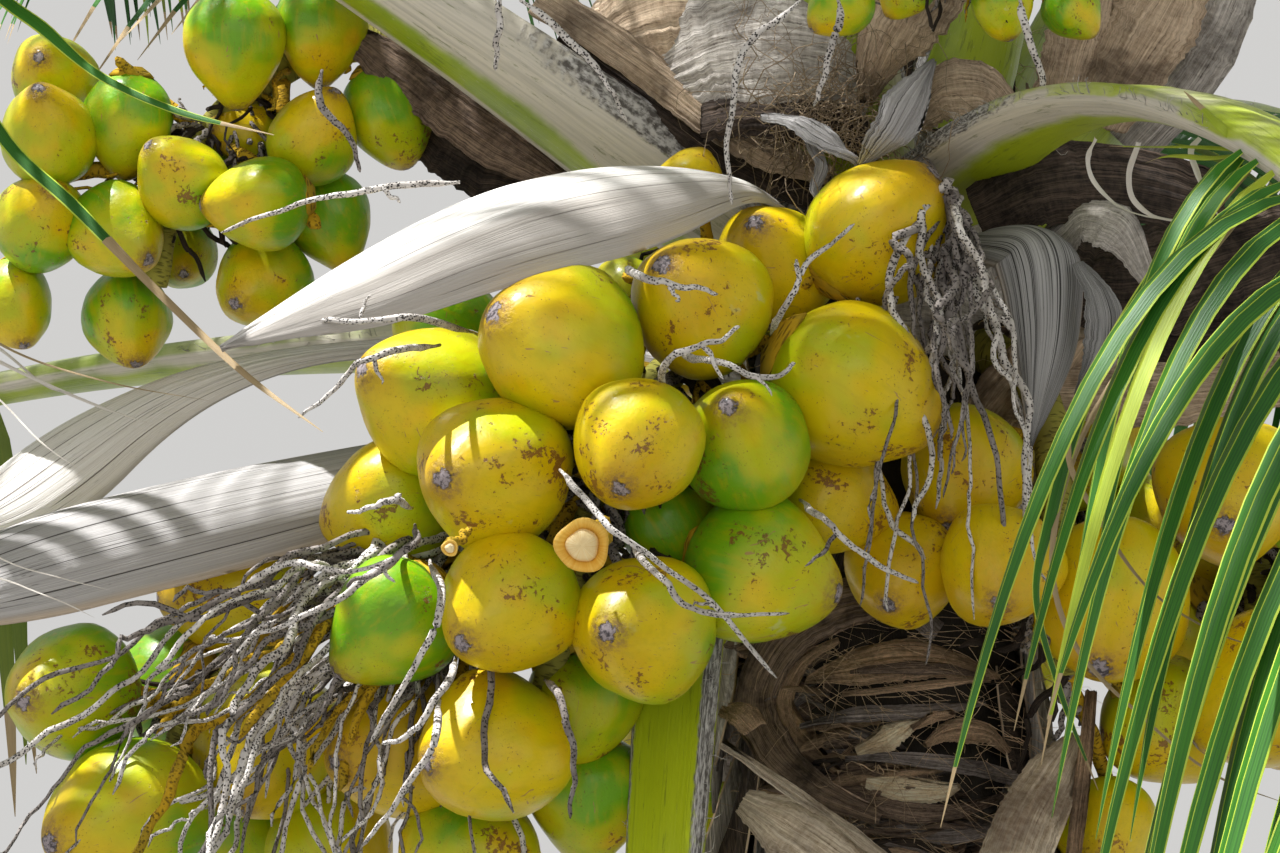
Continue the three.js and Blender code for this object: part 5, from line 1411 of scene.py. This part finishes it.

# Old leaf sheaths, thin torn sheets of matted fibre. Each route is given by the view's pixels and the
# distance from the camera, or by pixels alone for what lies on the trunk, as high above it as lift says.
# The sheets in the dark fibre finish stand where the crown's heart lies in shade; their near-black colour is
# painted shade.
sheaths = {
    'sheath_band': {
        'width': 0.05, 'out': (-0.3, -0.8, 0.4), 'finish': 'fibreTan',
        'route': [(540, -6, 4.93), (620, 47, 4.92), (663, 78, 4.92), (703, 110, 4.9), (747, 137, 4.88),
                  (787, 158, 4.86), (831, 174, 4.84)],
        'outline': [(0, 1), (0.8, 1), (1, 0.5)]},
    'sheath_band_low': {
        'width': 0.045, 'out': (-0.3, -0.9, 0.0), 'finish': 'fibreDark',
        'route': [(560, 35, 4.95), (620, 80, 4.94), (690, 130, 4.92), (750, 168, 4.9), (810, 200, 4.86)],
        'outline': [(0, 0.5), (0.4, 1), (1, 0.6)]},
    'sheath_net': {
        'width': 0.15, 'out': (-0.2, -1, 0.1), 'finish': 'fibreTan',
        'route': [(590, 45, 4.99), (635, 15, 4.95), (690, 5, 4.94), (745, 35, 4.97)]},
    'sheath_grey_wide': {
        'width': 0.185, 'out': (0, -1, 0.1), 'finish': 'fibreGrey', 'depth': 0.2,
        'route': [(655, 75, 4.94), (725, 42, 4.89), (800, 38, 4.86), (875, 60, 4.9)]},
    'sheath_grey_low': {
        'width': 0.08, 'out': (0, -1, 0.3), 'finish': 'fibreDark', 'depth': 0.2,
        'route': [(700, 120, 4.88), (760, 108, 4.85), (820, 118, 4.84), (880, 150, 4.88)]},
    'sheath_trumpet': {
        'width': 0.125, 'out': (0.1, -0.9, -0.1), 'finish': 'fibreTan',
        'route': [(866, 104, 4.84), (883, 55, 4.8), (913, 5, 4.77), (940, -50, 4.76)],
        'outline': [(0, 0.12), (0.5, 0.75), (1, 1)]},
    'sheath_fold': {
        'width': 0.062, 'out': (0.5, -0.8, 0.1), 'finish': 'bractGrey',
        'route': [(934, 60, 4.72), (915, 95, 4.69), (893, 132, 4.68), (862, 166, 4.72)],
        'outline': [(0, 0.1), (0.45, 1), (0.8, 0.7), (1, 0.2)]},
    'sheath_curl': {
        'width': 0.04, 'out': (-0.2, -0.7, 0.7), 'finish': 'bractGrey',
        'route': [(762, 116, 4.78), (800, 121, 4.74), (835, 142, 4.72), (862, 164, 4.74)],
        'outline': [(0, 0.2), (0.5, 1), (1, 0.6)]},
    'sheath_curl_tail': {
        'width': 0.022, 'out': (0.2, -0.9, 0.2), 'finish': 'bractGrey',
        'route': [(812, 140, 4.74), (822, 165, 4.73), (815, 190, 4.73), (822, 206, 4.72)],
        'outline': [(0, 0.8), (0.5, 0.7), (1, 0.1)]},
    'sheath_brown_arcs': {
        'width': 0.09, 'out': (0.1, -0.9, 0.3), 'finish': 'fibreTan', 'depth': 0.2,
        'route': [(915, 110, 4.88), (945, 88, 4.85), (985, 88, 4.86), (1018, 122, 4.9)]},
    'sheath_right_inner': {
        'width': 0.085, 'out': (0.3, -0.9, 0.1), 'finish': 'fibreTan',
        'route': [(1105, -60, 4.86), (1092, 0, 4.86), (1078, 50, 4.88), (1060, 105, 4.92)]},
    'sheath_right_outer': {
        'width': 0.11, 'out': (0.3, -0.9, 0.1), 'finish': 'fibreTan',
        'route': [(1195, -60, 4.84), (1172, 0, 4.85), (1140, 55, 4.88), (1095, 125, 4.94)]},
    'sheath_right_edge': {
        'width': 0.08, 'out': (0.4, -0.9, 0.1), 'finish': 'fibreGrey',
        'route': [(1250, -50, 4.92), (1228, 15, 4.92), (1195, 75, 4.95), (1130, 150, 5.0)]},
    'sheath_arch_right': {
        'width': 0.09, 'out': (0.2, -0.85, 0.5), 'finish': 'fibreGrey',
        'route': [(1040, 245, 4.8), (1085, 212, 4.76), (1125, 225, 4.74), (1150, 275, 4.76)],
        'outline': [(0, 0.7), (0.6, 1), (1, 0.4)]},
    'sheath_stub_right': {
        'width': 0.095, 'out': (0.1, -0.9, 0.3), 'finish': 'fibreTan',
        'route': [(1000, 390, 4.92), (1090, 385, 4.92), (1180, 388, 4.94), (1290, 372, 4.98)]},
    'sheath_dark_right': {
        'width': 0.15, 'out': (0.1, -1, 0.1), 'finish': 'fibreDark',
        'route': [(1010, 300, 5.02), (1100, 330, 5.02), (1200, 340, 5.06), (1290, 330, 5.12)]},
    'trunk_curved_band': {
        'width': 0.06, 'out': (-0.5, -0.9, 0), 'finish': 'heapBrown', 'lift': 0.056,
        'route': [(935, 602), (865, 596), (805, 618), (768, 655), (752, 703), (772, 752), (820, 792),
                  (880, 818)],
        'outline': [(0, 0.5), (0.15, 1), (0.6, 1), (0.8, 0.7), (1, 0.3)]},
    'trunk_curved_lining': {
        'width': 0.026, 'out': (-0.3, -0.9, 0), 'finish': 'heapTan', 'lift': 0.036,
        'route': [(838, 640), (800, 662), (782, 700), (795, 738), (838, 772)],
        'outline': [(0, 0.3), (0.4, 1), (1, 0.4)]},
    'trunk_dome': {
        'width': 0.04, 'out': (0, -0.8, 0.5), 'finish': 'heapGrey', 'lift': 0.04,
        'route': [(838, 612), (875, 603), (915, 612), (940, 630)]},
    'trunk_hairy_layer': {
        'width': 0.062, 'out': (0, -0.9, 0.45), 'finish': 'heapTan', 'lift': 0.03,
        'route': [(806, 680), (860, 662), (925, 655), (1000, 676)],
        'outline': [(0, 0.15), (0.3, 0.85), (0.6, 1), (0.85, 0.6), (1, 0.1)]},
    'trunk_hairy_shade': {
        'width': 0.018, 'out': (0, -0.9, 0.2), 'finish': 'heapBrown', 'lift': 0.048,
        'route': [(850, 672), (890, 668), (945, 668), (985, 676)],
        'outline': [(0, 0.2), (0.5, 1), (1, 0.2)]},
    'trunk_ledge_high': {
        'width': 0.01, 'out': (0, -0.9, 0.5), 'finish': 'heapTan', 'lift': 0.052,
        'route': [(842, 694), (880, 690), (940, 683), (990, 679)]},
    'trunk_lamella': {
        'width': 0.022, 'out': (0, -0.9, 0.5), 'finish': 'heapGrey', 'lift': 0.044,
        'route': [(800, 726), (850, 714), (920, 710), (985, 702)],
        'outline': [(0, 0.3), (0.4, 1), (0.8, 0.9), (1, 0.2)]},
    'trunk_pith_left': {
        'width': 0.02, 'out': (0, -0.9, 0.3), 'finish': 'heapTan', 'lift': 0.04,
        'route': [(806, 728), (828, 722), (850, 724)],
        'outline': [(0, 0.3), (0.5, 1), (1, 0.3)]},
    'trunk_pith_high': {
        'width': 0.034, 'out': (0, -0.9, 0.3), 'finish': 'pith', 'lift': 0.042,
        'route': [(856, 752), (880, 740), (902, 728), (924, 716)],
        'outline': [(0, 0.5), (0.4, 1), (0.7, 0.7), (1, 0.15)]},
    'trunk_chip': {
        'width': 0.012, 'out': (0, -0.9, 0.4), 'finish': 'heapTan', 'lift': 0.056,
        'route': [(912, 728), (930, 718), (954, 712)]},
    'trunk_right_lens': {
        'width': 0.036, 'out': (0.1, -0.9, 0.3), 'finish': 'heapTan', 'lift': 0.034,
        'route': [(925, 745), (950, 730), (985, 730), (1010, 752)],
        'outline': [(0, 0.2), (0.5, 1), (1, 0.3)]},
    'trunk_ledge_low': {
        'width': 0.022, 'out': (0, -0.9, 0.45), 'finish': 'heapGrey', 'lift': 0.052,
        'route': [(845, 758), (900, 757), (960, 764), (1018, 776)],
        'outline': [(0, 0.2), (0.4, 0.8), (0.8, 1), (1, 1)]},
    'trunk_pith_low': {
        'width': 0.034, 'out': (0, -0.9, 0.25), 'finish': 'pith', 'lift': 0.036,
        'route': [(866, 782), (895, 787), (930, 790), (960, 786)],
        'outline': [(0, 0.4), (0.4, 1), (0.8, 0.8), (1, 0.2)]},
    'trunk_low_layer': {
        'width': 0.026, 'out': (0, -0.9, 0.3), 'finish': 'heapBrown', 'lift': 0.05,
        'route': [(826, 785), (880, 806), (945, 812), (1005, 796)],
        'outline': [(0, 0.3), (0.5, 1), (1, 0.4)]},
    'trunk_lowest_layer': {
        'width': 0.03, 'out': (0, -0.9, 0.2), 'finish': 'heapGrey', 'lift': 0.036,
        'route': [(850, 815), (900, 828), (960, 830), (1010, 815)]},
    'trunk_stub_end': {
        'width': 0.04, 'out': (0.2, -0.9, 0.2), 'finish': 'heapTan',
        'route': [(724, 706, 4.73), (740, 710, 4.7), (756, 726, 4.68)],
        'outline': [(0, 0.6), (0.6, 1), (1, 0.8)]},
    'sheath_low_rim': {
        'width': 0.018, 'out': (-0.1, -0.7, 0.7), 'finish': 'fibreCream',
        'route': [(722, 742, 4.62), (775, 778, 4.61), (830, 815, 4.61), (895, 862, 4.62)]},
    'sheath_low_sheet': {
        'width': 0.085, 'out': (-0.1, -0.9, 0.1), 'finish': 'fibreCream', 'depth': 0.2,
        'route': [(742, 800, 4.66), (790, 828, 4.63), (840, 862, 4.62), (900, 920, 4.63)],
        'outline': [(0, 0.35), (0.3, 0.9), (1, 1)]},
    'sheath_low_right': {
        'width': 0.085, 'out': (0.1, -0.9, 0.1), 'finish': 'fibreCream',
        'route': [(1078, 735, 4.8), (1055, 775, 4.75), (1030, 820, 4.7), (1005, 890, 4.68)],
        'outline': [(0, 0.25), (0.3, 0.8), (1, 1)]},
    'sheath_low_right_edge': {
        'width': 0.02, 'out': (0.1, -0.9, 0.1), 'finish': 'heapTan',
        'route': [(1092, 690, 4.8), (1085, 760, 4.76), (1078, 820, 4.74), (1070, 890, 4.72)]},
    'sheath_left_high': {
        'width': 0.07, 'out': (-0.2, -0.9, 0.2), 'finish': 'heapBrown',
        'route': [(335, 22, 5.06), (395, 66, 5.04), (465, 118, 5.03), (560, 180, 5.02)],
        'outline': [(0, 0.3), (0.3, 0.9), (0.8, 1), (1, 0.5)]},
    'sheath_left_under': {
        'width': 0.11, 'out': (-0.2, -0.9, 0.0), 'finish': 'fibreDark',
        'route': [(370, 60, 5.12), (420, 110, 5.1), (480, 150, 5.08), (580, 190, 5.05)],
        'outline': [(0, 0.3), (0.3, 0.9), (0.7, 1), (1, 0.3)]},
    'sheath_heart_right': {
        'width': 0.105, 'out': (0.1, -0.95, 0.1), 'finish': 'fibreDark', 'depth': 0.2,
        'route': [(975, 215, 4.8), (1040, 185, 4.78), (1120, 180, 4.8), (1225, 205, 4.84)]},
    'sheath_right_back': {
        'width': 0.15, 'out': (0.1, -0.95, 0.1), 'finish': 'fibreDark', 'depth': 0.2,
        'route': [(1050, 275, 5.02), (1120, 285, 5.02), (1200, 265, 5.04), (1300, 235, 5.06)]},
    'bract_flap_right': {
        'width': 0.05, 'out': (0.3, -0.9, 0.2), 'finish': 'bractLined',
        'route': [(1078, 262, 4.71), (1104, 300, 4.69), (1104, 348, 4.69), (1076, 396, 4.7)],
        'outline': [(0, 0.3), (0.4, 1), (0.7, 0.9), (1, 0.1)]},
}
sheathForm = {'around': 84, 'along': 76, 'thickness': 0.003, 'groove': 0.0035, 'ragged': 0.14, 'depth': 0.35,
              'outline': [(0, 0.7), (0.5, 1), (1, 0.8)], 'rim': 0.2, 'length': 0.35,
              'search': (4.3, 5.2, 0.004)}  # how far from the camera the trunk is looked for


def onTrunk(right, down, lift):
    # The first point of a sight line that lies no more than lift off the trunk, or the nearest to it.
    stops = np.array([seen(right, down, far) for far in np.arange(*sheathForm['search'])])
    away = np.linalg.norm((stops - trunkAxis(stops[:, 2]))[:, :2], axis=1)
    gap = away - linear(trunk['radius'], stops[:, 2]) - lift
    return stops[np.argmax(gap < 0) if (gap < 0).any() else np.argmin(gap)]


for seed, (name, spec) in enumerate(sheaths.items()):
    stops = [seen(right, down, *far) if far else onTrunk(right, down, spec['lift'])
             for right, down, *far in spec['route']]
    route = [tuple(stop - crownPlace) for stop in stops]

    def halfAt(v):
        shape = linear(spec.get('outline', sheathForm['outline']), np.clip(v, 0, 1))
        torn = roughness(spots(v * 22, seed, 0), 1.0, 4)
        calm = 0.5 + 0.5 * roughness(spots(v * 3, seed + 9, 0), 1.0, 2)
        return spec['width'] / 2 * shape * (1 + sheathForm['ragged'] * torn * np.clip(calm * 1.6, 0.1, 1.4))

    sheet = arched(route, halfAt, spec['out'], spec.get('depth', sheathForm['depth']),
                   sheathForm['thickness'], sheathForm['groove'], seed * 3.1 + 50)
    piece = grid(name, sheathForm['around'], sheathForm['along'], sheet, spec['finish'],
                 values={'rim': lambda u, v: np.full_like(u, sheathForm['rim'])}, length=sheathForm['length'])
    show(piece, 'old_leaf_base')
print('sheaths done')

# Mats of woven fibre: short ones behind every leaf base, and long ones that hang under the crown.
mats = {
    'high': {'count': 46, 'z': (3.26, 4.02), 'tall': (0.16, 0.34), 'off': (0.004, 0.05), 'span': (50, 95)},
    'low': {'count': 30, 'z': (2.86, 3.24), 'tall': (0.20, 0.44), 'off': (0.012, 0.085), 'span': (30, 60)},
    'openFront': (-165, -20),  # degrees where the low mats would hide the trunk's torn layers
    'rings': 30, 'rows': 12, 'thickness': 0.003, 'wave': 0.014, 'tear': 0.35, 'rim': 0.15,
    'finishes': 'fibreTan fibreGrey fibreDark',
}


def matCorners(rule):
    found = []
    low = rule is mats['low']
    for i in range(rule['count']):
        turn0 = goldenTurn * i + 20
        chance = rng.random(4)
        if low and mats['openFront'][0] < (turn0 + 180) % 360 - 180 < mats['openFront'][1]:
            continue
        span, tall = between(rule['span'], chance[0]), between(rule['tall'], chance[1])
        z0 = rule['z'][0] + (rule['z'][1] - rule['z'][0]) * (i + 0.5) / rule['count']
        turn = np.radians(turn0 + span * (np.linspace(0, 1, mats['rings']) - 0.5))
        w = np.concatenate([np.linspace(0, 1, mats['rows']), np.linspace(1, 0, mats['rows'])])
        inside = np.repeat([0, 1], mats['rows'])
        turns, rows = np.meshgrid(turn, w, indexing='ij')
        wave = roughness(spots(turns * 2, rows * 1.5, i * 3.3), 1.6)
        torn = roughness(spots(turns * 9, i, 0), 1.6)
        down = -1 if low else 1  # the loose end hangs down or stands up
        z = z0 + down * rows * tall * (1 + mats['tear'] * torn * rows)
        nearest, farthest = rule['off']
        off = nearest + (farthest - nearest) * rows ** 1.5 * (0.5 + chance[2])
        radius = linear(trunk['radius'], z) + off + wave * mats['wave'] * rows - inside * mats['thickness']
        found.append(trunkAxis(z.ravel()).reshape(*z.shape, 3) + onRing(turns, radius))
    return np.array(found)


for key in ('high', 'low'):
    corners = matCorners(mats[key])
    dealt = rng.integers(0, 3, (len(corners), 1))
    woven = strips(f'fibre_mats_{key}', corners, mats['finishes'], dealt=dealt,
                   values={'rim': np.full(corners.shape[:3], mats['rim'])})
    show(woven, 'old_leaf_base')
print('mats done')


# Loose hairs: curly ones in the crown's heart and on the trunk, short ones on the leaf margins.
def hairs(name, starts, aims, shape):
    count, rings, (shortest, more) = len(starts), shape['rings'], shape['length']
    lengths = shortest + more * rng.random(count)
    s = np.linspace(0, 1, rings)[None, :, None]
    places = starts[:, None] + unit(aims)[:, None] * lengths[:, None, None] * s
    places = places + wander(count, rings, 1.0, 3) * (lengths * shape['curl'])[:, None, None]
    radius = shape['thick'] * (1 - 0.6 * s[..., 0]) * (0.6 + 0.8 * rng.random((count, 1)))
    found = strips(name, tubes(places, np.broadcast_to(radius, places.shape[:2]), 3), shape['finish'])
    show(found, 'old_leaf_base')


nest = {'count': 150, 'right': (775, 875), 'down': (88, 150), 'far': (4.78, 4.86), 'length': (0.04, 0.06),
        'curl': 0.9, 'thick': 0.0009, 'finish': 'thread', 'rings': 20}
stops = [between(nest[key], rng.random(nest['count'])) for key in ('right', 'down', 'far')]
starts = np.array([seen(*each) for each in zip(*stops)])
hairs('nest_fibres', starts, rng.normal(size=starts.shape) * [1, 0.3, 0.5], nest)

trunkHairs = {'count': 340, 'right': (760, 1035), 'down': (600, 850), 'lift': 0.046, 'length': (0.02, 0.07),
              'curl': 0.03, 'thick': 0.0004, 'finish': 'threadTan', 'rings': 14}
stops = [between(trunkHairs[key], rng.random(trunkHairs['count'])) for key in ('right', 'down')]
starts = np.array([onTrunk(*each, trunkHairs['lift']) for each in zip(*stops)])
aims = rng.normal(size=starts.shape) * [0.7, 0.15, 0.35] + [0.8, -0.05, -0.45]
hairs('trunk_fibres', starts, aims, trunkHairs)

roundHairs = {'count': 700, 'z': (2.75, 4.0), 'lift': 0.035, 'length': (0.03, 0.09), 'curl': 0.22,
              'thick': 0.0006, 'finish': 'threadTan', 'rings': 12}
turn, z = rng.random(roundHairs['count']) * 2 * np.pi, rng.uniform(*roundHairs['z'], roundHairs['count'])
radius = linear(trunk['radius'], z) + roundHairs['lift'] * rng.random(len(z))
starts = trunkAxis(z) + onRing(turn, radius)
hairs('crown_fibres', starts, onRing(turn, 1, -0.6) + rng.normal(size=starts.shape) * 0.8, roundHairs)

marginHairs = {'count': 150, 'until': 0.95, 'seat': 0.985, 'length': (0.006, 0.014), 'curl': 0.5,
               'thick': 0.0006, 'finish': 'threadPale', 'rings': 6}
starts, aims = [], []
for path in paths:
    s = np.sort(rng.random(marginHairs['count'])) * marginHairs['until'] * path.scale
    along, above, side = path.frame(s)
    hand = rng.choice([-1, 1], len(s))[:, None]
    starts.append(path.point(s) + side * hand * path.halfWide(s)[:, None] * marginHairs['seat'])
    aims.append(above + side * hand * 0.8 + along * 0.5 + rng.normal(size=along.shape) * 0.5)
hairs('margin_hairs', np.concatenate(starts), np.concatenate(aims), marginHairs)
print('hairs done')

# Floor, light and camera
stage = {
    'floorSize': 400, 'floorBelow': 0.002,
    'floor': ((0.207, 0.203, 0.198), (0.190, 0.186, 0.181)),
    'key': (10.2, (0.36, 0.13, -0.92), 0.8),  # strength, aim and width in degrees
    'fill': (1.15, (-0.15, 0.93, 0.22), 70),
    'sky': ((1.0, 0.99, 0.97, 1), 0.64),
}
floorMesh = bpy.data.meshes.new('floor')
made = bmesh.new()
bmesh.ops.create_grid(made, x_segments=1, y_segments=1, size=stage['floorSize'])
made.to_mesh(floorMesh)
made.free()
f = Finish('floor', Roughness=0.9)
floorMesh.materials.append(f.dress(Base_Color=f.blend(*stage['floor'], f.grain(f.place(), 2.0))))
floor = bpy.data.objects.new('floor', floorMesh)
floor.location.z = -stage['floorBelow']
bpy.context.scene.collection.objects.link(floor)

for name in ('key', 'fill'):
    strength, aim, wide = stage[name]
    data = bpy.data.lights.new(name, 'SUN')
    data.energy = strength
    data.angle = math.radians(wide)
    lamp = bpy.data.objects.new(name, data)
    lamp.rotation_mode = 'QUATERNION'
    lamp.rotation_quaternion = Vector(aim).to_track_quat('-Z', 'Y')
    bpy.context.scene.collection.objects.link(lamp)
world = bpy.data.worlds.new('sky')
bpy.context.scene.world = world
world.use_nodes = True
for socket, value in zip(('Color', 'Strength'), stage['sky']):
    world.node_tree.nodes['Background'].inputs[socket].default_value = value

cameraData = bpy.data.cameras.new('camera')
cameraData.sensor_width = view['sensor']
cameraData.lens = view['focalPixels'] * view['sensor'] / view['pixelsAcross']
cameraData.clip_end = view['farthest']
camera = bpy.data.objects.new('camera', cameraData)
camera.location = view['place']
camera.rotation_euler = (math.radians(90 + view['lookUp']), 0, 0)
bpy.context.scene.collection.objects.link(camera)
bpy.context.scene.camera = camera
bpy.context.scene.view_settings.view_transform = 'Standard'
print('stage done')
